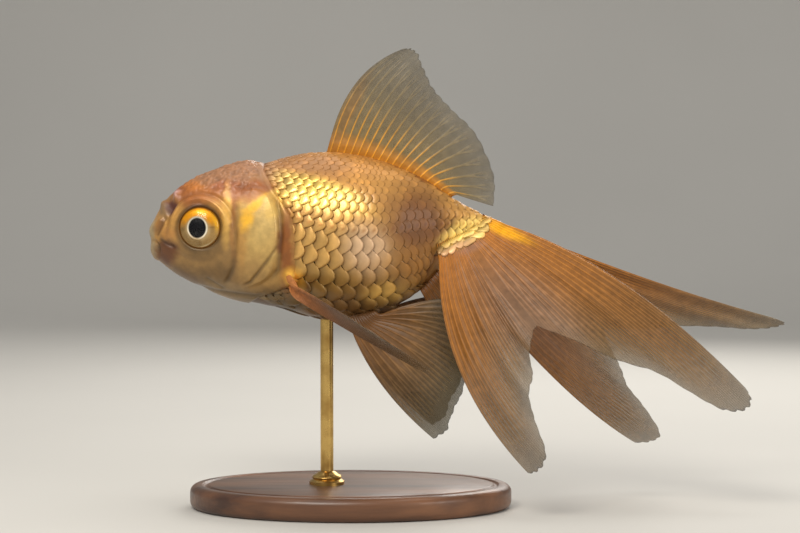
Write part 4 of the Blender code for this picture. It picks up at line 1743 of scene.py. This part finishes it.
TAIL_LOWER_LEFT = Fan(
    roots=((17.0, -5.4, 50.2), (19.4, -4.9, 51.2), (21.6, -4.2, 52.2)),
    knees=((15.6, -10.0, 26.4), (20.6, -10.4, 30.4), (25.4, -9.4, 37.0), (27.6, -7.4, 42.8)),
    tips=(
        (33.6, -19.0, 8.6), (35.8, -19.6, 9.2), (36.6, -19.4, 13.0), (34.8, -18.2, 18.4),
        (33.6, -17.0, 22.8), (34.4, -16.0, 26.4), (33.8, -14.8, 30.4), (34.7, -13.2, 34.9),
    ),
    pleat=0.6,
)
TAIL_UPPER_LEFT = Fan(
    roots=((22.2, -4.0, 52.6), (24.6, -3.1, 54.0), (26.4, -2.0, 55.6)),
    knees=((28.4, -7.2, 43.2), (39.0, -8.6, 42.8), (46.0, -8.2, 45.4), (50.8, -5.0, 49.2)),
    tips=(
        (35.4, -13.0, 35.6), (42.0, -13.6, 33.0), (49.5, -14.0, 29.6), (57.4, -14.2, 27.0),
        (64.4, -14.2, 22.9), (70.6, -14.0, 19.6), (74.6, -13.6, 19.2), (76.0, -12.8, 21.2),
        (75.0, -12.0, 23.4),
    ),
    pleat=0.7,
)
TAIL_LOWER_RIGHT = Fan(
    roots=((17.6, 5.3, 50.2), (20.0, 4.7, 51.3), (22.2, 4.0, 52.4)),
    knees=((39.4, 11.0, 20.6), (42.0, 11.4, 26.0), (39.6, 9.6, 34.4), (34.4, 7.0, 41.6)),
    tips=(
        (57.6, 20.0, 9.6), (60.8, 20.0, 9.8), (62.2, 19.6, 12.0), (58.8, 18.4, 17.4),
        (55.4, 17.0, 21.6), (54.0, 15.8, 25.4), (51.8, 14.2, 29.6), (50.0, 12.6, 33.0),
    ),
    pleat=0.5,
)
TAIL_UPPER_RIGHT = Fan(
    roots=((22.8, 3.8, 52.8), (25.0, 2.9, 54.1), (26.8, 1.8, 55.7)),
    knees=((35.0, 7.0, 42.2), (45.4, 8.6, 42.2), (52.0, 8.2, 42.0), (58.8, 6.0, 42.4)),
    tips=(
        (50.6, 12.4, 33.4), (57.6, 13.0, 33.4), (65.4, 13.6, 33.8), (73.0, 14.0, 33.6),
        (79.6, 14.0, 33.2), (84.6, 13.8, 33.4), (86.6, 13.4, 34.4), (84.0, 12.8, 35.6),
    ),
    pleat=0.5,
)


@dataclass(frozen=True)
class FinStyle:
    """How a fin is made and coloured."""

    rays: int
    across: int
    length_steps: int
    ray: float = 0.3
    web: float = 0.1
    base: float = 1.3
    base_reach: float = 0.14
    first_fork: float = 0.36
    second_fork: float = 0.7
    fork_runs: Spot = (0.3, 0.25)
    fork_spread: float = 0.25
    ray_width: float = 0.19
    ragged: float = 0.01
    scallop: float = 0.006
    sink_reach: float = 0.13
    side_border: float = 0.012
    end_border: float = 0.02
    # shares of the way from root to tip where the tints and veils below hold
    reach: tuple[float, ...] = (0.0, 0.12, 0.45, 0.8, 1.0)
    tints: tuple[Colour, ...] = (
        tone(190, 122, 46), tone(180, 114, 42), tone(150, 98, 42), tone(124, 92, 54), tone(116, 98, 70),
    )
    web_veil: tuple[float, ...] = (1.0, 0.96, 0.86, 0.66, 0.5)
    ray_veil: tuple[float, ...] = (1.0, 1.0, 0.97, 0.86, 0.7)
    web_light: float = 0.84
    ray_light: float = 1.22
    warm_rays: float = 0.0
    warm_tone: Colour = tone(206, 142, 34)


TAIL_STYLE = FinStyle(rays=14, across=250, length_steps=80, base=1.5, base_reach=0.1, sink_reach=0.1)
# the far tail's colours brightened as painted light, where the near tail shades it
FAR_TAIL_STYLE = replace(TAIL_STYLE, web_light=1.12, ray_light=1.56)
DORSAL_STYLE = FinStyle(
    rays=18,
    across=300,
    length_steps=64,
    ray=0.26,
    base=1.2,
    base_reach=0.1,
    first_fork=0.55,
    fork_spread=0.18,
    ray_width=0.13,
    scallop=0.014,
    reach=(0.0, 0.06, 0.13, 0.6, 1.0),
    tints=(
        tone(196, 126, 36), tone(182, 124, 46), tone(138, 116, 68), tone(120, 106, 78), tone(118, 110, 94),
    ),
    web_veil=(1.0, 0.86, 0.68, 0.6, 0.54),
    ray_veil=(1.0, 1.0, 0.96, 0.8, 0.62),
    web_light=0.9,
    ray_light=1.36,
    warm_rays=0.75,
)
PECTORAL_STYLE = FinStyle(
    rays=12,
    across=190,
    length_steps=60,
    tints=(
        tone(194, 128, 76), tone(176, 112, 62), tone(120, 84, 56), tone(104, 82, 60), tone(118, 100, 76),
    ),
    web_veil=(1.0, 0.95, 0.8, 0.5, 0.25),
    ray_veil=(1.0, 1.0, 0.95, 0.72, 0.42),
)
PELVIC_STYLE = FinStyle(
    rays=13,
    across=200,
    length_steps=60,
    # darkest at the root, painted shade under the belly
    tints=(tone(92, 60, 28), tone(116, 76, 34), tone(116, 82, 44), tone(96, 78, 52), tone(88, 80, 58)),
    web_veil=(1.0, 0.97, 0.88, 0.72, 0.58),
)
ANAL_STYLE = FinStyle(
    rays=8,
    across=120,
    length_steps=44,
    ray=0.24,
    base=0.9,
    tints=(tone(132, 84, 40), tone(124, 82, 42), tone(106, 76, 42), tone(96, 76, 48), tone(100, 84, 60)),
)

# marks on the back and tail fins, each with how solid it makes the fin
DORSAL_MARKS = ((Mark(-0.7, 75.4, 7.0, 1.2, tone(160, 112, 54), 0.45, 0.9, 1.12), 0.84),)
TAIL_MARKS_AND_HIGHLIGHT = (
    (Mark(33.5, 38.5, 13.0, 5.5, tone(150, 114, 90), 0.6, 0.8, -0.75), 0.78),
    (Mark(29.0, 53.5, 5.4, 1.0, tone(240, 172, 16), 0.98, 0.6, -0.4), 1.0),
    (Mark(22.6, 50.2, 2.6, 0.9, tone(170, 126, 100), 0.7, 0.7, 0.35), 1.0),
    # gold patch at the tail's root, brightened with a painted highlight
    (Mark(22.4, 52.8, 4.2, 1.5, tone(246, 206, 104), 0.9, 0.5, 0.6), 1.0),
)


@dataclass
class Fin:
    """A fin: two faces that meet at its edges, over rays that fork twice."""

    name: str
    fans: tuple[Fan, ...]
    style: FinStyle
    nodes: tuple[str, ...]
    foot: Place
    sink: float
    seed: int = 1
    marks: tuple[tuple[Mark, float], ...] = ()

    def sheet(self, f: Array, r: Array) -> Array:
        """Places on the middle of the fin, whose fans follow each other across it.

        Args:
            f: Shares across the fin.
            r: Shares from root to tip.

        Returns:
            Places in millimetres.
        """
        count = len(self.fans)
        which = np.minimum((f * count).astype(int), count - 1)
        places = np.zeros(f.shape + (3,))
        for k, fan in enumerate(self.fans):
            here = fan.points(np.clip(f * count - k, 0, 1), r)
            places = np.where((which == k)[..., None], here, places)
        return places

    def middle(self, f: Array, r: Array) -> Array:
        """Places on the middle of the fin, which bends at its root and goes down into the body.

        Args:
            f: Shares across the fin.
            r: Shares from root to tip.

        Returns:
            Places in millimetres.
        """
        depth = self.sink * (1 - ease(-0.01, self.style.sink_reach, r)) ** 2
        depth = depth - (1 - self.sink) * np.minimum(r, 0.0)
        return self.sheet(f, np.maximum(r, 0.0)) + np.array(self.foot) * depth[..., None]

    def forks(self, f: Array, r: Array) -> Pair:
        """How near each place is to the middle of a ray.

        Args:
            f: Shares across the fin.
            r: Shares from root to tip.

        Returns:
            Ray height from 0 to 1, and the distance from the middle of the whole ray.
        """
        style = self.style
        count = style.rays * len(self.fans)
        whole = np.abs(f * count - np.floor(f * count) - 0.5)
        first_run, second_run = style.fork_runs
        first = style.fork_spread * ease(style.first_fork, style.first_fork + first_run, r)
        second = style.fork_spread / 2 * ease(style.second_fork, style.second_fork + second_run, r)
        away = np.abs(np.abs(whole - first) - second)
        width = style.ray_width * (1 - 1.2 * first - 1.4 * second)
        return np.clip(1 - (away / width) ** 2, 0, 1) * (1 - 0.45 * ease(0.7, 1.0, r)), whole

    def normals(self, f: Array, r: Array, step: float = 1e-3) -> Array:
        """Find the directions square to the middle of the fin.

        Args:
            f: Shares across the fin.
            r: Shares from root to tip.
            step: How far apart to measure.

        Returns:
            Directions.
        """
        along = self.middle(f, r + step) - self.middle(f, r - step)
        over = self.middle(np.minimum(f + step, 1), r) - self.middle(np.maximum(f - step, 0), r)
        return unit(np.cross(along, over))

    def body(self, inner: Array, ridge: Array | float) -> Array:
        """Thickness away from the edges, fleshy at the root.

        Args:
            inner: Shares from root to tip.
            ridge: Ray heights, from 0 to 1.

        Returns:
            Thicknesses.
        """
        style = self.style
        flesh = style.base * (1 - ease(0.0, style.base_reach, inner)) ** 1.5
        flesh = flesh * (0.3 + 0.7 * ease(0.0, 0.05, inner))
        return style.web * (1 - 0.4 * inner) + style.ray * (1 - 0.7 * inner) * ridge + flesh

    def face(self, f: Array, r: Array, side: Side) -> Pair:
        """Find the face that looks away from the fish.

        Args:
            f: Shares across the fin.
            r: Shares from root to tip.
            side: The fin's side.

        Returns:
            Places on the face, and directions out of it.
        """
        normal = self.normals(f, r)
        normal = normal * np.where(normal[..., 1:2] * side.value > 0, -1.0, 1.0)
        half = self.body(np.maximum(r, 0.0), 0.5)[..., None] / 2
        return self.middle(f, r) + normal * half, normal

    def thickness(self, f: Array, inner: Array, ridge: Array) -> Array:
        """Thickness over the fin, down to nothing at the edges.

        Args:
            f: Shares across the fin.
            inner: Shares from root to tip.
            ridge: Ray heights.

        Returns:
            Thicknesses.
        """
        side, end = self.style.side_border, self.style.end_border
        border = np.sqrt(ease(0.0, side, f) * ease(0.0, side, 1 - f) * ease(0.0, end, 1 - inner))
        border[:, [0, -1]] = 0.0
        border[-1] = 0.0
        return self.body(inner, ridge) * border

    def dress(self, places: Array, inner: Array, ridge: Array) -> Pair:
        """Tint and veil of the fin.

        Args:
            places: The middle of the fin.
            inner: Shares from root to tip.
            ridge: Ray heights, from 0 to 1.

        Returns:
            Colours, and how solid each place looks, from 0 to 1.
        """
        style = self.style
        channels = [np.interp(inner, style.reach, shades) for shades in zip(*style.tints)]
        veil = np.interp(inner, style.reach, style.web_veil) * (1 - ridge)
        veil = veil + np.interp(inner, style.reach, style.ray_veil) * ridge
        tint = np.stack(channels, axis=-1)
        tint = mix(tint, style.warm_tone, style.warm_rays * ridge * (1 - ease(0.12, 0.5, inner)))
        for mark, solid in self.marks:
            share = mark.weight(places[..., [0, 2]])
            tint = mix(tint, np.array(mark.colour), share)
            veil = veil * (1 - share) + solid * share
        light = style.web_light + (style.ray_light - style.web_light) * ridge**1.5
        cloud = 0.1 * grain(places, 1.2, self.seed) + 0.08 * grain(places, 5.0, self.seed + 2)
        return tint * (light * (1 + cloud))[..., None], veil

    def build(self) -> Piece:
        """Make the fin's mesh, with its tints and veil stored on it.

        Returns:
            The fin.
        """
        style = self.style
        f = np.linspace(0, 1, style.across * len(self.fans) + 1)[None, :]
        r = np.concatenate([[-1.0, -0.5], np.linspace(0, 1, style.length_steps)])[:, None]
        f, r = np.broadcast_arrays(f, r)
        along_edge = np.stack([f * 40, f * 0, f * 0 + self.seed], axis=-1)
        fringe = 0.8 * grain(along_edge, 2.6, self.seed) + 0.2 * grain(along_edge, 0.9, self.seed + 1)
        ridge, whole = self.forks(f, r)
        end = 1 - style.ragged * (1 - fringe) - style.scallop * ease(0.1, 0.5, whole)
        inner = np.maximum(r, 0.0)
        shrunk = np.where(r > 0, r * (1 - (1 - end) * ease(0.5, 1.0, r)), r)
        middle, normal = self.middle(f, shrunk), self.normals(f, shrunk)
        half = self.thickness(f, inner, ridge)[..., None] / 2
        tint, veil = self.dress(middle, inner, ridge)
        sheets = []
        for face, sign, start in (("outer", 1.0, 0.0), ("inner", -1.0, 0.51)):
            sheet = grid_sheet(f"{self.name}_{face}", middle + sign * normal * half)
            store(sheet, tint, veil, np.stack([f * 0.49 + start, inner], axis=-1), "Veil")
            sheets.append(sheet)
        fin = join(sheets, self.name)
        weld(fin, 0.0015)
        return fin


def fins_of(form: BodyForm) -> list[Fin]:
    """Plan every fin of the fish.

    Args:
        form: The body.

    Returns:
        The fins.
    """
    dorsal = Fan(back_roots(form), DORSAL_KNEES, DORSAL_TIPS, 0.35, 2.5)
    foot = (-0.9, 0.0, -1.7)
    fins = [Fin("fin_dorsal", (dorsal,), DORSAL_STYLE, ("dorsal_fin",), foot, 0.3, 3, DORSAL_MARKS)]
    for side, style, fans in (
        (Side.LEFT, TAIL_STYLE, (TAIL_LOWER_LEFT, TAIL_UPPER_LEFT)),
        (Side.RIGHT, FAR_TAIL_STYLE, (TAIL_LOWER_RIGHT, TAIL_UPPER_RIGHT)),
    ):
        name = side.name.lower()
        nodes = (f"tail_fin_lower_{name}", f"tail_fin_upper_{name}")
        foot = (-1.1, 2.7 * side.value, 0.7)
        fins.append(Fin(f"fin_tail_{name}", fans, style, nodes, foot, 0.5, 3 + 2 * len(fins), TAIL_MARKS_AND_HIGHLIGHT))
    for kind, fan, style, (foot_x, foot_y, foot_z), sink in (
        ("pectoral", PECTORAL_LEFT, PECTORAL_STYLE, (0.6, 3.6, 1.6), 0.62),
        ("pelvic", PELVIC_LEFT, PELVIC_STYLE, (-0.5, 1.1, 2.5), 0.55),
        ("anal", ANAL_LEFT, ANAL_STYLE, (-1.1, 0.7, 1.6), 0.45),
    ):
        for side in Side:
            name = side.name.lower()
            own = fan if side is Side.LEFT else fan.mirrored()
            foot = (foot_x, foot_y * side.value, foot_z)
            nodes = (f"{kind}_fin_{name}",)
            fins.append(Fin(f"fin_{kind}_{name}", (own,), style, nodes, foot, sink, 9 + len(fins)))
    return fins


# ---- eyes


@dataclass
class Eye:
    """An eye: a ball with a metallic iris round a dark pupil, under a clear dome."""

    side: Side
    segments: int = 128
    lens_rings: int = 12
    iris_rings: int = 28
    dome_rings: int = 22
    dome_segments: int = 96
    pupil_long: float = 1.76
    pupil_high: float = 1.98
    pupil_forward: float = 0.45
    dome_gap: float = 0.02
    dome_height: float = 1.15
    dome_thickness: float = 0.06
    # share from pupil edge (0) to rim (1), with the height above the rim's plane
    iris: Spots = ((0.0, 0.52), (0.12, 0.6), (0.4, 0.5), (0.75, 0.28), (0.92, 0.1), (1.0, -0.06))
    lens: Spots = ((0.0, 0.6), (0.5, 0.53), (0.85, 0.36), (0.97, 0.24), (1.0, 0.34))
    back: Spots = ((1.04, -0.3), (1.08, -1.0), (1.0, -2.4), (0.7, -3.6), (0.35, -4.2), (0.0, -4.4))

    def rings(self) -> tuple[Array, Array, Array]:
        """Rings of the ball from the front of the lens to the back.

        Returns:
            Flat places (x, z) from the middle of the eye, heights, and reach: below 1 in the pupil,
            1 to 2 over the iris and above 2 behind the rim.
        """
        bearing = np.linspace(0, 2 * math.pi, self.segments + 1)
        c, s = np.cos(bearing), np.sin(bearing)
        pupil = np.stack([self.pupil_long * c - self.pupil_forward, self.pupil_high * s], axis=-1)
        rim = EYE_SEAT.radius * np.stack([c, s], axis=-1)
        middle = np.array((-self.pupil_forward, 0.0))
        flat, height, reach = [], [], []
        for share in np.linspace(0, 1, self.lens_rings):
            flat.append(middle + (pupil - middle) * share)
            height.append(np.interp(share, *zip(*self.lens)))
            reach.append(share)
        for share in np.linspace(0, 1, self.iris_rings)[1:]:
            flat.append(pupil + (rim - pupil) * share)
            height.append(np.interp(share, *zip(*self.iris)))
            reach.append(1 + share)
        for k, (share, level) in enumerate(self.back):
            flat.append(rim * share)
            height.append(level)
            reach.append(2.1 + 0.1 * k)
        return np.array(flat), np.array(height), np.array(reach)

    def place(self, flat: Array, height: Array) -> Array:
        """Set flat places and heights on the side of the head.

        Args:
            flat: Places from the middle of the eye.
            height: Heights above the rim's plane.

        Returns:
            Places in millimetres.
        """
        x = EYE_SEAT.x + flat[..., 0]
        y = -self.side.value * (EYE_SEAT.rim(x) + height)
        return np.stack([x, y + x * 0, EYE_SEAT.z + flat[..., 1]], axis=-1)

    def colours(self, flat: Array, reach: Array) -> Pair:
        """Tint and shine of the ball.

        Args:
            flat: Flat places from the middle of the eye.
            reach: Where each ring lies, as rings() gives it.

        Returns:
            Tints and shines.
        """
        out = np.hypot(flat[..., 0], flat[..., 1])
        bearing = np.arctan2(flat[..., 1], flat[..., 0])
        reach = np.broadcast_to(reach[:, None], out.shape)
        spokes = np.stack([np.cos(bearing) * 9, np.sin(bearing) * 9, out * 0.8], axis=-1)
        lit = 1 - 0.85 * bell(bearing + 1.9, 0.6)
        up = ease(-0.15, 0.6, np.sin(bearing)) * ease(1.12, 1.55, reach + 0.25 * np.sin(bearing))
        dark_spokes = [bell(bearing - spoke, 0.07) for spoke in (-math.pi / 2, 0.05)]
        tint = np.array(tone(140, 112, 68)) * (1 + 0.14 * grain(spokes, 1.0, 31))[..., None]
        layers = (
            # lighter to the rear, light ring round the pupil, gold upper half and rear corner
            (tone(172, 136, 80), ease(0.0, 0.8, np.cos(bearing)) * 0.6),
            (tone(188, 162, 116), (1 - ease(1.1, 1.5, reach)) * lit * 0.75),
            (tone(220, 146, 16), up * 0.96),
            (tone(240, 180, 40), bell(bearing - 0.3, 0.45) * ease(1.5, 1.8, reach) * 0.9),
            # dark spokes, glint below and brown rim
            *((tone(116, 84, 44), spoke * bell(reach - 1.45, 0.3) * 0.6) for spoke in dark_spokes),
            (tone(214, 190, 144), bell(bearing + 1.25, 0.4) * bell(reach - 1.86, 0.06) * 0.7),
            (tone(132, 84, 30), ease(1.9, 1.97, reach) * 0.8),
            # bright edge of the pupil, the pupil, and the ball behind the rim
            (tone(240, 230, 206), lit * ease(0.985, 1.0, reach) * (1 - ease(1.06, 1.13, reach))),
            (tone(5, 5, 8), 1 - ease(0.96, 0.985, reach)),
            (tone(92, 54, 22), ease(2.0, 2.12, reach)),
        )
        for colour, share in layers:
            tint = mix(tint, colour, share)
        return tint, 0.75 * ease(1.0, 1.1, reach) * (1 - ease(1.95, 2.1, reach))

    def ball(self) -> Piece:
        """Make the ball.

        Returns:
            The ball.
        """
        flat, height, reach = self.rings()
        ball = grid_sheet(f"eye_ball_{self.side.name.lower()}", self.place(flat, height[:, None]))
        shares = np.meshgrid(np.linspace(0, 1, self.segments + 1), np.linspace(0, 1, len(flat)))
        store(ball, *self.colours(flat, reach), np.stack(shares, axis=-1))
        weld(ball)
        return ball

    def cornea(self) -> Piece:
        """Make the clear dome, as a thin closed shell.

        Returns:
            The dome.
        """
        share = np.linspace(0, 1, self.dome_rings)[:, None]
        bearing = np.linspace(0, 2 * math.pi, self.dome_segments + 1)[None, :]
        round_ = np.stack([np.cos(bearing), np.sin(bearing)], axis=-1)
        flat = EYE_SEAT.radius * share[..., None] * round_
        height = self.dome_gap + self.dome_height * (1 - share**2) ** 0.85 + bearing * 0
        dome = grid_sheet(f"eye_cornea_{self.side.name.lower()}", self.place(flat, height))
        weld(dome)
        modify(dome, "SOLIDIFY", thickness=self.dome_thickness * MM, offset=-1)
        return dome


# ---- stand


@dataclass
class Stand:
    """The display stand: an oval wooden base, a turned collar and a brass rod."""

    length: float = 62.0
    width: float = 42.0
    height: float = 4.5
    sides: int = 160
    # steps of the base's top from its edge inwards: width and rise
    steps: Spots = ((2.4, 0.0), (0.35, -0.35), (0.5, 0.0), (0.35, 0.35), (9.0, 0.0))
    # roundings of the base's edges: least angle in degrees, width and segments
    roundings: tuple[tuple[float, float, int], ...] = ((60, 1.4, 6), (12, 0.12, 2))
    turned_sides: int = 64
    rod_x: float = -4.6
    rod_radius: float = 1.25
    rod_top: float = 38.4
    rod_sink: float = 0.4
    # radius and height above the base of the collar's turned outline
    collar: Spots = (
        (3.4, 0.0), (3.4, 0.55), (3.05, 0.8), (2.75, 1.0), (2.9, 1.35),
        (2.7, 1.7), (2.1, 1.95), (1.75, 2.3), (1.3, 2.5),
    )

    def base(self) -> Piece:
        """Make the base: a cylinder drawn out to an oval, with a moulded edge.

        Returns:
            The base.
        """
        deselect()
        depth = self.height * MM
        bpy.ops.mesh.primitive_cylinder_add(
            vertices=self.sides, radius=0.5, depth=depth, location=(0, 0, depth / 2)
        )
        base = name_piece(bpy.context.object, "stand_wood")
        base.scale = (self.length * MM, self.width * MM, 1.0)
        take(base)
        bpy.ops.object.transform_apply(location=True, rotation=True, scale=True)
        bpy.ops.object.mode_set(mode="EDIT")
        bpy.ops.mesh.select_mode(type="FACE")
        bpy.ops.mesh.select_all(action="DESELECT")
        bpy.ops.object.mode_set(mode="OBJECT")
        for face in base.data.polygons:
            face.select = face.normal.z > 0.9
        bpy.ops.object.mode_set(mode="EDIT")
        for inset, rise in self.steps:
            bpy.ops.mesh.inset(thickness=inset * MM, depth=rise * MM)
        bpy.ops.object.mode_set(mode="OBJECT")
        for least, width, segments in self.roundings:
            limit = {"limit_method": "ANGLE", "angle_limit": math.radians(least)}
            modify(base, "BEVEL", width=width * MM, segments=segments, **limit)
        bpy.ops.object.shade_smooth_by_angle(angle=math.radians(35))
        return base

    def turned(self, name: str, outline: Spots) -> Piece:
        """Turn an outline about the rod's axis.

        Args:
            name: The piece's name.
            outline: Radii, and heights above the base.

        Returns:
            The closed turned piece.
        """
        turns = np.linspace(0, 2 * math.pi, self.turned_sides + 1)[None, :]
        closed = np.array(((0.0, outline[0][1]), *outline, (0.0, outline[-1][1])))
        radius, z = closed[:, :1], closed[:, 1:] + self.height + turns * 0
        places = np.stack([self.rod_x + radius * np.cos(turns), radius * np.sin(turns), z], axis=-1)
        piece = grid_sheet(name, places)
        weld(piece)
        bpy.ops.object.shade_smooth_by_angle(angle=math.radians(40))
        return piece

    def build(self) -> None:
        """Make, dress and place the stand's pieces."""
        brass = BrassFinish().make()
        rod = ((self.rod_radius, -self.rod_sink), (self.rod_radius, self.rod_top - self.height))
        finish_piece(self.base(), WoodFinish().make(), "base_wood", "stand_base")
        collar = self.turned("stand_turned_collar", self.collar)
        finish_piece(collar, brass, "rod_brass", "stand_collar")
        finish_piece(self.turned("stand_brass_rod", rod), brass, "rod_brass", "stand_rod")


# ---- studio


@dataclass(frozen=True)
class Softbox:
    """A soft rectangular light."""

    name: str
    place: Place
    width: float
    height: float
    power: float
    tint: Colour = (1.0, 0.96, 0.9)


@dataclass
class Studio:
    """Floor, backdrop, lights and camera."""

    target: Place = (-14.6, 0.0, 2.2)
    distance: float = 427.4
    rise: float = 2.5
    lens: float = 100.0
    sensor: float = 36.0
    air: Colour = (0.96, 0.95, 0.94)
    air_strength: float = 0.42
    # floor: how far it reaches, where its bend starts, the bend's radius and the top of the wall
    floor_reach: float = 900.0
    bend_start: float = 500.0
    bend: float = 260.0
    wall_top: float = 1100.0
    lights: tuple[Softbox, ...] = (
        Softbox("key", (-130.0, -330.0, 330.0), 220.0, 130.0, 1.3, (1.0, 0.95, 0.86)),
        Softbox("overhead", (20.0, 30.0, 460.0), 360.0, 280.0, 0.7),
        Softbox("fill", (330.0, -280.0, 150.0), 180.0, 180.0, 0.4),
        Softbox("back_glow", (120.0, 320.0, 220.0), 260.0, 200.0, 0.65),
    )

    def stage(self) -> None:
        """Make the floor, which sweeps up into the backdrop."""
        turn = np.linspace(0.1, math.pi / 2, 14)
        floor = np.linspace(-self.floor_reach, self.bend_start, 15)
        wall = self.bend_start + self.bend
        run = np.concatenate([floor, self.bend_start + self.bend * np.sin(turn), [wall]])
        rise = np.concatenate([np.zeros(15), self.bend * (1 - np.cos(turn)), [self.wall_top]])
        x, y = np.meshgrid(np.linspace(-self.floor_reach, self.floor_reach, 25), run)
        sweep = grid_sheet("stage_sweep", np.stack([x, y, rise[:, None] + x * 0], axis=-1))
        take(sweep)
        bpy.ops.object.shade_smooth()
        sweep.data.materials.append(StageFinish().make())

    def hang(self, name: str, data: bpy.types.ID, place: Vector, aim: Vector) -> Piece:
        """Put a light or camera in its place and aim it.

        Args:
            name: Its name.
            data: The light or camera.
            place: Where it hangs.
            aim: What it looks at.

        Returns:
            The object that holds it.
        """
        holder = add_object(name, data)
        holder.location = place
        holder.rotation_euler = (aim - holder.location).to_track_quat("-Z", "Y").to_euler()
        return holder

    def light(self, box: Softbox, aim: Vector) -> None:
        """Hang a soft light.

        Args:
            box: The light.
            aim: What it shines at.
        """
        lamp = bpy.data.lights.new(box.name, "AREA")
        lamp.shape = "RECTANGLE"
        lamp.size, lamp.size_y = box.width * MM, box.height * MM
        lamp.energy = box.power
        lamp.color = box.tint
        self.hang(box.name, lamp, Vector(box.place) * MM, aim)

    def camera(self, aim: Vector) -> None:
        """Set the camera at the side of the fish.

        Args:
            aim: What it looks at.
        """
        lens = bpy.data.cameras.new("camera")
        lens.lens, lens.sensor_width = self.lens, self.sensor
        lens.clip_start, lens.clip_end = 0.01, 10.0
        rise = math.radians(self.rise)
        place = aim + Vector((0, -math.cos(rise), math.sin(rise))) * self.distance * MM
        bpy.context.scene.camera = self.hang("camera", lens, place, aim)

    def build(self) -> None:
        """Set up the whole studio round the model."""
        low, high = (Vector(corner) for corner in CAD_BOX)
        aim = (low + high) / 2 + Vector(self.target) * MM
        self.stage()
        for box in self.lights:
            self.light(box, aim)
        self.camera(aim)
        world = bpy.data.worlds.new("studio_air")
        world.use_nodes = True
        air = world.node_tree.nodes["Background"]
        air.inputs["Color"].default_value = (*self.air, 1.0)
        air.inputs["Strength"].default_value = self.air_strength
        bpy.context.scene.world = world
        bpy.context.scene.view_settings.view_transform = "Standard"


# ---- whole model

FLESH = (
    "head", "lower_jaw", "gill_cover_left", "gill_cover_right",
    "nostril_left", "nostril_right", "trunk", "tail_stalk",
)
SKIN_FINISH = LivingFinish("skin_wet", coat=0.16, coat_roughness=0.25)
SCALE_FINISH = LivingFinish("scales_gold", mottle=0.1, grain_scale=3200.0, coat=0.2)
IRIS_FINISH = LivingFinish(
    "eye_iris", mottle_scale=1500.0, mottle=0.08, grain_scale=4000.0, bump=0.1, metal=0.5,
    dull_roughness=0.4, bright_roughness=0.35, coat=0.04, coat_roughness=0.1, specular=0.1,
)


def main() -> None:
    """Build every piece in order, then the studio."""
    logging.basicConfig(level=logging.INFO, format="%(name)s %(message)s")
    form = BodyForm()
    finish_piece(Skin(form).build(), SKIN_FINISH.make(), "head_skin", *FLESH)
    fins = {fin.name: fin for fin in fins_of(form)}
    scale_finish = SCALE_FINISH.make()
    for side in Side:
        coat = ScaleCoat(form, side, fins[f"fin_tail_{side.name.lower()}"])
        finish_piece(coat.build(), scale_finish, "flank_gold")
    fin_finish = FinFinish("fins_clear_amber").make()
    for name, fin in fins.items():
        slot = "tail_amber" if "tail" in name else "fin_amber"
        finish_piece(fin.build(), fin_finish, slot, *fin.nodes)
    iris_finish, cornea_finish = IRIS_FINISH.make(), CorneaFinish().make()
    for side in Side:
        eye = Eye(side)
        finish_piece(eye.ball(), iris_finish, "eye_gold", f"eye_{side.name.lower()}")
        finish_piece(eye.cornea(), cornea_finish, "eye_gold")
    Stand().build()
    Studio().build()


if __name__ == "__main__":
    main()
